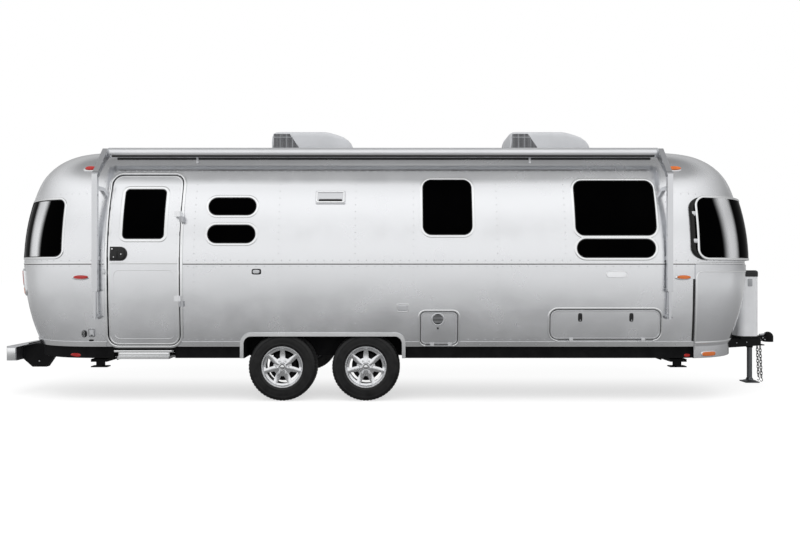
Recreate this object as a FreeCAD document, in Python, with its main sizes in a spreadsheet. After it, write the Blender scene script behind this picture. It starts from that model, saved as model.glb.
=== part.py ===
import FreeCAD, Part
import math
import os
from types import SimpleNamespace

import Sketcher

# Travel caravan with a riveted aluminium shell on twin axles, standing on its wheels and its
# tongue jack. Millimetres, +X toward the hitch, +Y toward the street side, +Z up. The origin
# is on the ground, on the centre plane, at the middle of the length.

os.makedirs("parts", exist_ok=True)
doc = FreeCAD.newDocument("TravelCaravan")
sheet = doc.addObject("Spreadsheet::Sheet", "Sizes")
V = FreeCAD.Vector

# ---------------------------------------------------------------- driving sizes

SIZES = (
    ("belt_height", 1467, "height of the beltline, where the body is widest"),
    ("half_width", 1289, "half width of the body at the beltline"),
    ("wall_bottom", 584, "lower edge of the walls"),
    ("wall_thickness", 45, "thickness of walls, doors and roof"),
    ("lower_wall_radius", 9300, "arc of the wall below the beltline"),
    ("upper_wall_radius", 2600, "arc of the wall above the beltline"),
    ("upper_wall_turn", 19, "degrees turned by the upper wall"),
    ("shoulder_radius", 650, "arc of the shoulder"),
    ("shoulder_end", 78, "angle at which the shoulder meets the crown"),
    ("rear_seam", -3270, "seam of the rear end cap"),
    ("front_seam", 2673, "seam of the front end cap"),
    ("rear_bulge", 1245, "length of the rear cap at the beltline"),
    ("front_bulge", 1237, "length of the front cap at the beltline"),
    ("end_tuck_radius", 2000, "arc by which the ends tuck under the beltline"),
    ("roof_seam", 2560, "height of the seam between wall and roof"),
    ("floor_top", 640, "top of the cabin floor"),
    ("fit", 0.3, "clearance between pieces that seat on each other"),
    ("skirt_bottom", 458, "underside of the belly pan"),
    ("skirt_inset", 28, "belly pan edge, in from the wall"),
    ("pan_front", 3500, "front edge of the belly pan"),
    ("rail_proud", 10, "rub rail, proud of the wall"),
    ("rail_top", 636, "top of the rub rail"),
    ("door_rear", -3206, "free edge of the entry door leaf"),
    ("door_front", -2455, "hinged edge of the entry door leaf"),
    ("door_bottom", 600, "bottom of the entry door leaf"),
    ("door_top", 2417, "top of the entry door leaf"),
    ("door_corner", 100, "corner radius of the entry door"),
    ("door_gap", 8, "gap around the door leaf"),
    ("door_swing_gap", 16, "gap at the free edge, which swings through the curved wall"),
    ("hinge_proud", 12, "entry door hinge axis, out from the widest wall"),
    ("hinge_radius", 10, "radius of the entry door knuckles"),
    ("hinge_length", 114, "length of an entry door hinge"),
    ("hinge_low", 1009, "bottom of the lower hinge"),
    ("hinge_high", 1900, "bottom of the upper hinge"),
    ("pane_thickness", 10, "thickness of the window panes"),
    ("pane_inset", 3, "panes, in from the outer skin"),
    ("hatch_rear", 1462, "rear edge of the storage hatch leaf"),
    ("hatch_front", 2624, "front edge of the storage hatch leaf"),
    ("hatch_bottom", 664, "bottom of the storage hatch leaf"),
    ("hatch_top", 972, "top of the storage hatch leaf"),
    ("hatch_corner", 76, "corner radius of the storage hatch"),
    ("heater_rear", 92, "rear edge of the water heater door"),
    ("heater_front", 479, "front edge of the water heater door"),
    ("heater_bottom", 610, "bottom of the water heater door"),
    ("heater_top", 948, "top of the water heater door"),
    ("heater_corner", 48, "corner radius of the water heater door"),
    ("lid_gap", 7, "gap around the hatch and heater leaves"),
    ("lid_axis_drop", 14, "lid hinge axis, below the leaf"),
    ("lid_axis_proud", 8, "lid hinge axis, out from the skin"),
    ("lid_knuckle", 5, "radius of the lid hinge knuckles"),
    ("arch_rear", -1817, "rear edge of the wheel arch trim"),
    ("arch_front", -69, "front edge of the wheel arch trim"),
    ("arch_top", 732, "top of the wheel arch trim"),
    ("arch_bottom", 463, "lower ends of the wheel arch trim"),
    ("arch_band", 38, "width of the wheel arch trim"),
    ("arch_corner", 115, "outer corner radius of the wheel arch trim"),
    ("arch_face", "=half_width - 11", "outer face of the wheel arch trim, from the centre plane"),
    ("arch_depth", 34, "depth of the wheel arch trim"),
    ("tub_depth", 262, "depth of the wheel tub, in from the arch trim"),
    ("tub_top", 775, "top of the wheel tub inside"),
    ("tub_sheet", 6, "sheet of the wheel tub"),
    ("axle_height", 363, "height of the wheel centres"),
    ("rear_axle", -1379, "position of the rear axle"),
    ("front_axle", -490, "position of the front axle"),
    ("tyre_radius", 363, "outer radius of a tyre"),
    ("tyre_width", 225, "width of a tyre"),
    ("tyre_face", "=half_width - 55", "outer sidewall of a tyre, from the centre plane"),
    ("rim_radius", 212, "radius of the wheel under the tyre"),
    ("rim_flange", 222, "radius of the wheel's flange"),
    ("rim_barrel", 10, "thickness of the wheel's barrel"),
    ("disc_thickness", 26, "thickness of the wheel's spoked disc"),
    ("disc_inset", 26, "spoked disc, in from the outer flange"),
    ("hub_radius", 62, "radius of the wheel's hub boss"),
    ("spoke_count", 7, "spokes of a wheel"),
    ("spindle_radius", 24, "radius of an axle spindle"),
    ("axle_tube", 84, "side of the square axle tube"),
    ("axle_trail", 160, "axle tube, ahead of its wheels"),
    ("rail_height", 104, "height of a drawbar rail"),
    ("rail_width", 52, "width of a drawbar rail"),
    ("rail_level", 567, "top of the drawbar rails"),
    ("drawbar_front", 4330, "front end of the drawbar rails"),
    ("drawbar_spread", 430, "rails at the pan, from the centre plane"),
    ("drawbar_nose", 58, "rails at the front, from the centre plane"),
    ("ball_centre", 4462, "hitch ball position"),
    ("ball_height", 528, "height of the hitch ball's centre"),
    ("ball_radius", 30, "radius of the hitch socket"),
    ("coupler_radius", 60, "outer radius of the coupler dome"),
    ("coupler_bottom", 503, "lower edge of the coupler"),
    ("jack_place", 4232, "tongue jack position"),
    ("jack_leg_radius", 30, "radius of the jack's inner leg"),
    ("jack_tube_radius", 38, "radius of the jack's outer tube"),
    ("jack_tube_bottom", 432, "lower end of the jack's outer tube"),
    ("jack_tube_top", 1010, "upper end of the jack's outer tube"),
    ("jack_leg_top", 610, "upper end of the inner leg"),
    ("foot_half", 83, "half side of the jack's foot"),
    ("foot_thickness", 14, "thickness of the jack's foot plate"),
    ("cover_rear", 3930, "rear face of the gas bottle cover"),
    ("cover_front", 4165, "front face of the gas bottle cover"),
    ("cover_half", 365, "half width of the gas bottle cover"),
    ("cover_bottom", 605, "bottom of the gas bottle cover"),
    ("cover_top", 1316, "top of the aluminium cover, under its lid"),
    ("lid_top", 1392, "top of the cover's lid"),
    ("cover_corner", 70, "corner radius of the gas bottle cover"),
    ("bumper_rear", "=rear_seam - rear_bulge - 15", "rear face of the bumper"),
    ("bumper_front", "=rear_seam - rear_bulge + 91", "front face of the bumper"),
    ("bumper_bottom", 381, "bottom of the bumper"),
    ("bumper_top", 531, "top of the bumper"),
    ("bumper_half", 850, "half length of the bumper"),
    ("bracket_place", 690, "bumper brackets, from the centre plane"),
    ("bracket_width", 70, "width of a bumper bracket"),
    ("roller_radius", 52, "radius of the rolled awning"),
    ("roller_place", "=half_width - 229", "awning roller, from the centre plane"),
    ("roller_height", 2672, "height of the awning roller"),
    ("roller_rear", -3290, "rear end of the awning roller"),
    ("roller_front", 2668, "front end of the awning roller"),
    ("arm_width", 58, "width of an awning arm"),
    ("arm_face", "=half_width + 63", "outer face of an awning arm, from the centre plane"),
    ("arm_depth", 36, "depth of an awning arm"),
    ("arm_bottom", 880, "lower end of an awning arm"),
    ("cooler_length", 970, "length of an air conditioner"),
    ("cooler_half", 350, "half width of an air conditioner"),
    ("cooler_top", 3067, "top of an air conditioner"),
    ("cooler_rear_place", -1661, "rear end of the rear air conditioner"),
    ("cooler_front_place", 1186, "rear end of the front air conditioner"),
    ("guard_rear", 2990, "rear edge of the front guards"),
    ("guard_proud", 12, "stone guards, proud of the skin"),
    ("guard_inner", 540, "inner edge of the stone guards, from the centre plane"),
    ("screen_proud", 42, "window guard, proud of the skin"),
    ("screen_sheet", 7, "sheet of the window guard"),
    ("screen_bottom", 1500, "bottom of the window guard"),
    ("screen_top", 2180, "top of the window guard"),
    ("end_window_bottom", 1535, "bottom of the end windows"),
    ("end_window_top", 2150, "top of the end windows"),
    ("end_window_corner", 70, "corner radius of the end windows"),
    ("rear_window_edge", -3715, "forward edge of the rear corner windows"),
    ("front_window_edge", 3060, "rearward edge of the front corner windows"),
    ("step_rear", -3156, "rear edge of the entry step"),
    ("step_front", -2532, "front edge of the entry step"),
    ("step_bottom", 452, "bottom of the entry step"),
    ("step_top", 544, "top of the entry step"),
    ("step_face", "=half_width - 27", "outer face of the stowed step, from the centre plane"),
    ("step_depth", 270, "depth of the entry step"),
    ("stay_rear_place", -3398, "rear stabilisers along the body"),
    ("stay_front_place", 2900, "front stabilisers along the body"),
    ("stay_width", 176, "width of a stabiliser leg"),
    ("stay_length", 470, "length of a stabiliser leg"),
    ("stay_pivot", 600, "stabiliser pivot, from the centre plane"),
    ("stay_pivot_height", 412, "height of the stabiliser pivot"),
    ("stay_pin", 9, "radius of the stabiliser pin"),
)


class Size(float):
    """A number that also carries the sheet formula it comes from."""

    def __new__(cls, number, formula):
        item = float.__new__(cls, number)
        item.formula = formula
        return item

    def __add__(self, other):
        return Size(float(self) + float(other), "(%s + %s)" % (formula(self), formula(other)))

    def __sub__(self, other):
        return Size(float(self) - float(other), "(%s - %s)" % (formula(self), formula(other)))

    def __mul__(self, other):
        return Size(float(self) * float(other), "(%s * %s)" % (formula(self), formula(other)))

    def __neg__(self):
        return Size(-float(self), "(0 - %s)" % formula(self))


def formula(value):
    """The text that an expression needs for a size or a plain number."""
    return getattr(value, "formula", None) or repr(float(value))


def fill_sheet():
    """Write the driving sizes into the sheet and return them by alias."""
    for row, (alias, value, note) in enumerate(SIZES, start=1):
        sheet.set("A%d" % row, note)
        sheet.set("B%d" % row, str(value))
        sheet.setAlias("B%d" % row, alias)
    doc.recompute()
    found = {alias: Size(sheet.get(alias), "Sizes.%s" % alias) for alias, _, _ in SIZES}
    return SimpleNamespace(**found)


at = fill_sheet()

CURB = -1
STREET = 1
SIDES = (("curb", CURB), ("street", STREET))
ENDS = (("rear", -1), ("front", 1))
WALLS = []
FAR = 6000.0


# ---------------------------------------------------------------- building blocks

NODES = []


def node(item, label):
    """Mark a document object as one node of the caravan."""
    item.Label = label
    NODES.append(item)
    return item


def bind(item, **formulas):
    """Tie properties to the sheet; a double underscore stands for a dot."""
    for name, value in formulas.items():
        item.setExpression(name.replace("__", "."), formula(value))
    return item


def block(name, x, y, z):
    """A box between pairs of sizes along each axis."""
    item = doc.addObject("Part::Box", name)
    return bind(
        item,
        Length=Size(x[1], formula(x[1])) - x[0],
        Width=Size(y[1], formula(y[1])) - y[0],
        Height=Size(z[1], formula(z[1])) - z[0],
        Placement__Base__x=x[0],
        Placement__Base__y=y[0],
        Placement__Base__z=z[0],
    )


def rod(name, radius, length, x, y, z, turn=None):
    """A cylinder that starts at x, y, z and runs up, or along the axis that turn gives."""
    item = doc.addObject("Part::Cylinder", name)
    if turn:
        item.Placement = FreeCAD.Placement(V(), FreeCAD.Rotation(V(0, 0, 1), turn))
    return bind(
        item,
        Radius=radius,
        Height=length,
        Placement__Base__x=x,
        Placement__Base__y=y,
        Placement__Base__z=z,
    )


def ball(name, radius, x, y, z):
    """A sphere about a point."""
    item = doc.addObject("Part::Sphere", name)
    return bind(
        item,
        Radius=radius,
        Placement__Base__x=x,
        Placement__Base__y=y,
        Placement__Base__z=z,
    )


def joined(name, items):
    """Pieces fused into one solid."""
    item = doc.addObject("Part::MultiFuse", name)
    item.Shapes = items
    return item


def together(name, items):
    """Like pieces on one body, kept as solids of one node."""
    item = doc.addObject("Part::Compound", name)
    item.Links = items
    return item


def less(name, base, tool):
    """A piece with another cut away."""
    item = doc.addObject("Part::Cut", name)
    item.Base = base
    item.Tool = tool
    return item


def feature(name, shape):
    """A free-form piece whose shape is worked out from the sizes."""
    item = doc.addObject("Part::Feature", name)
    item.Shape = shape
    return item


def body(name):
    """An empty PartDesign body."""
    return doc.addObject("PartDesign::Body", name)


def sketch(owner, name, role):
    """A sketch on one of the body's own origin planes."""
    item = owner.newObject("Sketcher::SketchObject", name)
    support = next(plane for plane in owner.Origin.OriginFeatures if plane.Role == role)
    item.AttachmentSupport = [(support, "")]
    item.MapMode = "FlatFace"
    return item


def outline(item, corners):
    """A closed outline of straight runs, each corner bound to its two sizes."""
    count = len(corners)
    for index, start in enumerate(corners):
        end = corners[(index + 1) % count]
        item.addGeometry(Part.LineSegment(V(start[0], start[1], 0), V(end[0], end[1], 0)), False)
    for index in range(count):
        item.addConstraint(Sketcher.Constraint("Coincident", index, 2, (index + 1) % count, 1))
    for index, corner in enumerate(corners):
        for kind, value in zip(("DistanceX", "DistanceY"), corner):
            place = item.addConstraint(Sketcher.Constraint(kind, -1, 1, index, 1, float(value)))
            item.setExpression("Constraints[%d]" % place, formula(value))


def pad(owner, name, profile, length, middle=False):
    """A pad of a sketch by a bound length."""
    item = owner.newObject("PartDesign::Pad", name)
    item.Profile = profile
    item.Midplane = middle
    item.setExpression("Length", formula(length))
    return item


def turned(owner, name, profile, axis):
    """A full revolution of a sketch about one of the body's origin axes."""
    item = owner.newObject("PartDesign::Revolution", name)
    item.Profile = profile
    line = next(part for part in owner.Origin.OriginFeatures if part.Role == axis)
    item.ReferenceAxis = (line, [""])
    item.Angle = 360
    return item


# ---------------------------------------------------------------- the body's skin

PLAN_POWER = 2.6
PLAN_STEPS = 14


def arc_points(centre, radius, first, last, steps):
    """Half width and height along an arc, angles in degrees above the horizontal."""
    found = []
    for index in range(steps + 1):
        angle = math.radians(first + (last - first) * index / steps)
        found.append((centre[0] + radius * math.cos(angle), centre[1] + radius * math.sin(angle)))
    return found


def section_arcs(inset):
    """The arcs of the half section, as centre, radius, first and last angle, and steps."""
    lower_centre = (at.half_width - at.lower_wall_radius, at.belt_height)
    lower_radius = at.lower_wall_radius - inset
    drop = math.degrees(math.asin((at.belt_height - at.wall_bottom) / lower_radius))
    wall_centre = (at.half_width - at.upper_wall_radius, at.belt_height)
    turn = math.radians(at.upper_wall_turn)
    reach = at.upper_wall_radius - at.shoulder_radius
    shoulder_centre = (
        wall_centre[0] + reach * math.cos(turn),
        wall_centre[1] + reach * math.sin(turn),
    )
    top = math.radians(at.shoulder_end)
    crown_reach = shoulder_centre[0] / math.cos(top)
    crown_centre = (0.0, shoulder_centre[1] - crown_reach * math.sin(top))
    crown_radius = crown_reach + at.shoulder_radius
    return (
        (lower_centre, lower_radius, -drop, 0.0, 4),
        (wall_centre, at.upper_wall_radius - inset, 0.0, float(at.upper_wall_turn), 4),
        (shoulder_centre, at.shoulder_radius - inset, float(at.upper_wall_turn), float(at.shoulder_end), 6),
        (crown_centre, crown_radius - inset, float(at.shoulder_end), 90.0, 3),
    )


def half_section(inset):
    """Points of the half section from the walls' foot to the crown."""
    points = []
    for arc in section_arcs(inset):
        points += arc_points(*arc)[1 if points else 0:]
    return points


def end_extent(bulge, inset, width, height):
    """How far an end cap reaches past its seam, for a point of the half section."""
    widest = at.half_width - inset
    reach = bulge - inset
    if height >= at.belt_height:
        return reach * width / widest
    fall = at.belt_height - height
    return reach - (at.end_tuck_radius - math.sqrt(at.end_tuck_radius ** 2 - fall ** 2))


def section_curve(bulge, inset):
    """A curve whose coordinates are end extent, half width and height."""
    section = half_section(inset)
    points = [V(end_extent(bulge, inset, wide, high), wide, high) for wide, high in section]
    lengths = [0.0]
    for before, after in zip(section, section[1:]):
        lengths.append(lengths[-1] + math.dist(before, after))
    total = lengths[-1]
    crown = V(-(bulge - inset) / (at.half_width - inset), -1, 0) * total
    foot = (points[1] - points[0]) * (total / lengths[1])
    curve = Part.BSplineCurve()
    curve.interpolate(
        Points=points,
        Parameters=[length / total for length in lengths],
        InitialTangent=foot,
        FinalTangent=crown,
        Scale=False,
    )
    return curve


def plan_curve():
    """A quarter-turned superellipse: x is the share of the extent, y the share of the width."""
    points = []
    for index in range(PLAN_STEPS + 1):
        angle = math.pi * (index / PLAN_STEPS - 0.5)
        across = math.sin(angle)
        along = math.cos(angle)
        reach = (abs(across) ** PLAN_POWER + abs(along) ** PLAN_POWER) ** (-1 / PLAN_POWER)
        points.append(V(max(0.0, along * reach), across * reach, 0))
    points[0] = V(0, -1, 0)
    points[-1] = V(0, 1, 0)
    curve = Part.BSplineCurve()
    curve.interpolate(Points=points, InitialTangent=V(1, 0, 0), FinalTangent=V(-1, 0, 0))
    return curve


def cap_surface(seam, direction, section, plan):
    """An end cap: the plan curve scaled by the section at each height."""
    grid = []
    for share in plan.getPoles():
        grid.append([
            V(seam + direction * share.x * pole.x, share.y * pole.y, pole.z)
            for pole in section.getPoles()
        ])
    surface = Part.BSplineSurface()
    surface.buildFromPolesMultsKnots(
        grid,
        plan.getMultiplicities(), section.getMultiplicities(),
        plan.getKnots(), section.getKnots(),
        False, False, plan.Degree, section.Degree,
    )
    return surface


def like_curve(curve, poles):
    """A curve with the knots of another and its own poles."""
    made = Part.BSplineCurve()
    made.buildFromPolesMultsKnots(
        poles, curve.getMultiplicities(), curve.getKnots(), False, curve.Degree
    )
    return made


def end_section(end, inset):
    """Seam, direction and section curve of an end."""
    if end == "rear":
        return float(at.rear_seam), -1, section_curve(at.rear_bulge, inset)
    return float(at.front_seam), 1, section_curve(at.front_bulge, inset)


def section_face(place, section):
    """The body's whole cross section at a seam, with the end cap's own edge."""
    edges = []
    for side in (CURB, STREET):
        poles = [V(place, side * pole.y, pole.z) for pole in section.getPoles()]
        edges.append(like_curve(section, poles).toShape())
    foot = section.getPoles()[0]
    edges.append(Part.makeLine(V(place, -foot.y, foot.z), V(place, foot.y, foot.z)))
    return Part.Face(Part.Wire(Part.__sortEdges__(edges)))


def straight_section(inset):
    """The cross section of the straight part, made of true arcs."""
    edges = []
    place = float(at.rear_seam)
    for side in (CURB, STREET):
        for centre, radius, first, last, _ in section_arcs(inset):
            ends = [arc_points(centre, radius, first, last, 2)[index] for index in (0, 1, 2)]
            corners = [V(place, side * wide, high) for wide, high in ends]
            edges.append(Part.Arc(*corners).toShape())
    wide, high = half_section(inset)[0]
    edges.append(Part.makeLine(V(place, -wide, high), V(place, wide, high)))
    return Part.Face(Part.Wire(Part.__sortEdges__(edges)))


def foot_curve(seam, direction, section):
    """The edge of an end cap at the walls' foot."""
    foot = section.getPoles()[0]
    poles = [
        V(seam + direction * share.x * foot.x, share.y * foot.y, foot.z)
        for share in PLAN.getPoles()
    ]
    return like_curve(PLAN, poles).toShape()


def foot_face(seam, direction, section):
    """The flat underside of an end cap."""
    foot = section.getPoles()[0]
    line = Part.makeLine(V(seam, -foot.y, foot.z), V(seam, foot.y, foot.z))
    return Part.Face(Part.Wire(Part.__sortEdges__([foot_curve(seam, direction, section), line])))


PLAN = plan_curve()
SKINS = {}


def skin(where, inset):
    """The solid inside the outer surface, moved in by inset; negative is outside it."""
    key = (where, round(float(inset), 3))
    if key not in SKINS:
        if where == "middle":
            solid = straight_section(inset).extrude(V(at.front_seam - at.rear_seam, 0, 0))
        else:
            seam, direction, section = end_section(where, inset)
            faces = [
                cap_surface(seam, direction, section, PLAN).toShape(),
                foot_face(seam, direction, section),
                section_face(seam, section),
            ]
            shell = Part.makeShell(faces)
            shell.sewShape()
            solid = Part.makeSolid(shell)
            if solid.Volume < 0:
                solid.reverse()
        SKINS[key] = solid
    return SKINS[key]


def base_slab(inset, low, high):
    """A slab with the outline of the walls' foot, moved in by inset."""
    edges = []
    for end in ("rear", "front"):
        seam, direction, section = end_section(end, inset)
        edges.append(foot_curve(seam, direction, section))
        foot = section.getPoles()[0]
    for side in (CURB, STREET):
        start = V(at.rear_seam, side * foot.y, foot.z)
        edges.append(Part.makeLine(start, V(at.front_seam, side * foot.y, foot.z)))
    slab = Part.Face(Part.Wire(Part.__sortEdges__(edges))).extrude(V(0, 0, high - low))
    slab.translate(V(0, 0, low - at.wall_bottom))
    return slab


LAYERS = {}


def layer(where, outer, inner):
    """The shell between two insets of the skin."""
    key = (where, round(float(outer), 3), round(float(inner), 3))
    if key not in LAYERS:
        LAYERS[key] = skin(where, outer).cut(skin(where, inner))
    return LAYERS[key]


def trimmed(shape):
    """A piece with the skin's own solids taken out of it, so that it seats on the outside."""
    grown = [skin(where, -float(at.fit)) for where in ("rear", "middle", "front")]
    near = [solid for solid in grown if solid.BoundBox.intersect(shape.BoundBox)]
    return shape.cut(near)


def solid_box(x, y, z):
    """A plain box shape between pairs of numbers."""
    return Part.makeBox(x[1] - x[0], y[1] - y[0], z[1] - z[0], V(x[0], y[0], z[0]))


def prism(x, z, corner, side, axis="y"):
    """A rounded rectangle pushed through one side of the body, or through an end."""
    if axis == "y":
        span = (-FAR, -300.0) if side == CURB else (300.0, FAR)
        box = solid_box(x, span, z)
    else:
        span = (-FAR, -3400.0) if side < 0 else (2900.0, FAR)
        box = solid_box(span, x, z)
    corner = min(corner, 0.49 * (x[1] - x[0]), 0.49 * (z[1] - z[0]))
    edges = [edge for edge in box.Edges if runs_along(edge, axis)]
    return box.makeFillet(corner, edges)


def runs_along(edge, axis):
    """Whether a straight edge runs along the named axis."""
    way = edge.tangentAt(edge.FirstParameter)
    return abs(getattr(way, axis)) > 0.9


def half_width_at(height):
    """Half width of the skin at a height between the wall's foot and the shoulder."""
    if height < at.belt_height:
        radius = at.lower_wall_radius
    else:
        radius = at.upper_wall_radius
    rise = height - at.belt_height
    return at.half_width - radius + math.sqrt(radius ** 2 - rise ** 2)


# ---------------------------------------------------------------- windows

# Each window: rear and front edge, bottom and top, corner radius.
STACK_LOW = ((-2163, -1655), (1679, 1871), 95)
STACK_HIGH = ((-2163, -1655), (1978, 2166), 93)
CENTRE = ((115, 639), (1767, 2367), 92)
LARGE = ((1730, 2587), (1760, 2358), 92)
LONG = ((1740, 2570), (1525, 1722), 98)
DOOR_PANE = ((-3060, -2622), (1725, 2259), 44)
STREET_REAR = ((-2900, -2360), (1767, 2367), 92)
CURB_WINDOWS = (STACK_LOW, STACK_HIGH, CENTRE, LARGE, LONG)
STREET_WINDOWS = (STREET_REAR, STACK_HIGH, CENTRE, LARGE, LONG)


def shrunk(span, gap):
    """A span of two numbers, narrowed by a gap at each end."""
    return (span[0] + gap, span[1] - gap)


def holes(windows, side):
    """Openings for windows in a wall."""
    return [prism(x, z, corner, side) for x, z, corner in windows]


def panes(windows, side):
    """Panes that seat in those openings."""
    glass = layer("middle", at.pane_inset, at.pane_inset + at.pane_thickness)
    gap = at.fit
    return [
        glass.common(prism(shrunk(x, gap), shrunk(z, gap), corner - gap, side))
        for x, z, corner in windows
    ]


def end_openings(direction, gap):
    """The corner windows and the middle window of an end cap, grown or shrunk by gap."""
    tall = shrunk((at.end_window_bottom, at.end_window_top), gap)
    corner = at.end_window_corner - gap
    edge = at.rear_window_edge if direction < 0 else at.front_window_edge
    along = (-FAR, edge - gap) if direction < 0 else (edge + gap, FAR)
    found = []
    for side in (CURB, STREET):
        side_view = prism(along, tall, corner, side)
        across = (-FAR, -760.0 - gap) if side == CURB else (760.0 + gap, FAR)
        end_view = prism(across, tall, corner, direction, axis="x")
        body_box = solid_box((min(along), max(along)), (-FAR, FAR), tall)
        found.append(side_view.common(end_view.fuse(near_side(side, direction, tall))).common(body_box))
    found.append(prism(shrunk((-660.0, 660.0), gap), tall, corner, direction, axis="x"))
    return found


def near_side(side, direction, tall):
    """The space beside an end cap, ahead of where the end view's prism starts."""
    across = (-FAR, -900.0) if side == CURB else (900.0, FAR)
    along = (-3800.0, -3000.0) if direction < 0 else (2700.0, 3200.0)
    return solid_box(along, across, tall)


# ---------------------------------------------------------------- cabin shell

def door_space(gap, swing_gap):
    """The entry door's outline, grown by a gap."""
    x = (at.door_rear - swing_gap, at.door_front + gap)
    z = (at.door_bottom - gap, at.door_top + gap)
    return prism(x, z, at.door_corner + gap, CURB)


def lid_space(rear, front, bottom, top, corner, gap):
    """A storage or heater lid's outline, grown by a gap."""
    return prism((rear - gap, front + gap), (bottom - gap, top + gap), corner + gap, CURB)


def hatch_space(gap):
    return lid_space(at.hatch_rear, at.hatch_front, at.hatch_bottom, at.hatch_top, at.hatch_corner, gap)


def heater_space(gap):
    return lid_space(
        at.heater_rear, at.heater_front, at.heater_bottom, at.heater_top, at.heater_corner, gap
    )


def arch_space(side, band=0.0, depth=(-FAR, FAR)):
    """The wheel arch's outline, moved in by a band, open at the bottom."""
    x = (at.arch_rear + band, at.arch_front - band)
    z = (at.arch_bottom - 400.0, at.arch_top - band)
    outer = prism(x, z, at.arch_corner - band, side)
    foot = solid_box((-FAR, FAR), (-FAR, FAR), (-FAR, at.arch_bottom + 0.0))
    span = sorted((side * depth[0], side * depth[1]))
    return outer.cut(foot).common(solid_box((-FAR, FAR), span, (-FAR, FAR)))


def build_walls():
    """The straight walls and the roof, split at the beltline and the roof seam."""
    shell = layer("middle", 0.0, at.wall_thickness)
    low = (0.0, float(at.belt_height))
    high = (float(at.belt_height), float(at.roof_seam))
    for name, side in SIDES:
        span = (-FAR, 0.0) if side == CURB else (0.0, FAR)
        upper = shell.common(solid_box((-FAR, FAR), span, high))
        lower = shell.common(solid_box((-FAR, FAR), span, low))
        windows = CURB_WINDOWS if side == CURB else STREET_WINDOWS
        upper = upper.cut(holes(windows, side))
        lower = lower.cut(arch_space(side))
        if side == CURB:
            door = door_space(at.door_gap, at.door_swing_gap)
            upper = upper.cut(door)
            lower = lower.cut([door, hatch_space(at.lid_gap), heater_space(at.lid_gap)])
        node(feature("UpperWall_" + name, upper), "wall_upper_" + name)
        node(feature("LowerWall_" + name, lower), "wall_lower_" + name)
        WALLS.append(lower)
    roof = shell.common(solid_box((-FAR, FAR), (-FAR, FAR), (float(at.roof_seam), FAR)))
    node(feature("Roof", roof), "roof_panel")


def build_caps():
    """The end caps, split at the beltline, with their window openings."""
    low = (0.0, float(at.belt_height))
    high = (float(at.belt_height), FAR)
    for end, direction in ENDS:
        cap = layer(end, 0.0, at.wall_thickness)
        upper = cap.common(solid_box((-FAR, FAR), (-FAR, FAR), high))
        lower = cap.common(solid_box((-FAR, FAR), (-FAR, FAR), low))
        upper = upper.cut(end_openings(direction, 0.0))
        node(feature("UpperCap_" + end, upper), "%s_cap_upper" % end)
        node(feature("LowerCap_" + end, lower), "%s_cap_lower" % end)


def build_windows():
    """Panes in the walls and end caps."""
    for name, side in SIDES:
        windows = CURB_WINDOWS if side == CURB else STREET_WINDOWS
        node(feature("Panes_" + name, Part.makeCompound(panes(windows, side))), "windows_" + name)
    found = []
    for end, direction in ENDS:
        glass = layer(end, at.pane_inset, at.pane_inset + at.pane_thickness)
        found += [glass.common(space) for space in end_openings(direction, at.fit)]
    node(feature("EndPanes", Part.makeCompound(found)), "windows_ends")


def wheel_bays(grow):
    """The room over the wheels on both sides, grown by a wall."""
    x = (at.arch_rear + at.arch_band - grow, at.arch_front - at.arch_band + grow)
    inner = at.arch_face - at.arch_depth - at.tub_depth - grow
    z = (0.0, at.tub_top + grow)
    return [solid_box(x, (inner, FAR), z), solid_box(x, (-FAR, -inner), z)]


def build_floor():
    """The cabin floor, the wheel tubs and the belly pan."""
    floor = base_slab(at.wall_thickness + at.fit, at.wall_bottom, at.floor_top)
    floor = floor.cut(wheel_bays(at.tub_sheet + at.fit))
    node(feature("Floor", floor), "cabin_floor")
    limit = at.arch_face - at.arch_depth - at.fit
    room = solid_box((-FAR, FAR), (-limit, limit), (float(at.skirt_bottom), FAR))
    tubs = []
    for outer, inner, wall in zip(wheel_bays(at.tub_sheet), wheel_bays(0.0), reversed(WALLS)):
        tubs.append(outer.cut(inner).common(room).cut(wall))
    node(feature("Tubs", Part.makeCompound(tubs)), "wheel_tubs")
    pan = base_slab(at.skirt_inset, at.skirt_bottom, at.wall_bottom)
    pan = pan.cut(wheel_bays(at.tub_sheet + at.fit))
    pan = pan.cut(solid_box((float(at.pan_front), FAR), (-FAR, FAR), (0.0, FAR)))
    bay = solid_box(
        (at.step_rear - 14.0, at.step_front + 14.0),
        (-FAR, at.step_depth - at.step_face + 10.0),
        (0.0, at.step_top + at.fit),
    )
    pan = pan.cut([bay] + trim_feet())
    node(feature("Pan", pan), "belly_pan")
    return pan


def trim_feet():
    """Room for the arch trims' lower ends beside the belly pan."""
    span = (at.arch_face - at.arch_depth - at.fit, FAR)
    x = (at.arch_rear - at.fit, at.arch_front + at.fit)
    return [solid_box(x, span, (0.0, FAR)), solid_box(x, (-span[1], -span[0]), (0.0, FAR))]


def rail_gaps():
    """Where the rub rail stops: side, rear and front."""
    ends = 12.0
    return (
        (CURB, at.door_rear - at.door_swing_gap - ends, at.door_front + at.door_gap + ends),
        (CURB, at.heater_rear - at.lid_gap - ends, at.heater_front + at.lid_gap + ends),
        (CURB, at.arch_rear - 1.0, at.arch_front + 1.0),
        (STREET, at.arch_rear - 1.0, at.arch_front + 1.0),
    )


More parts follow.
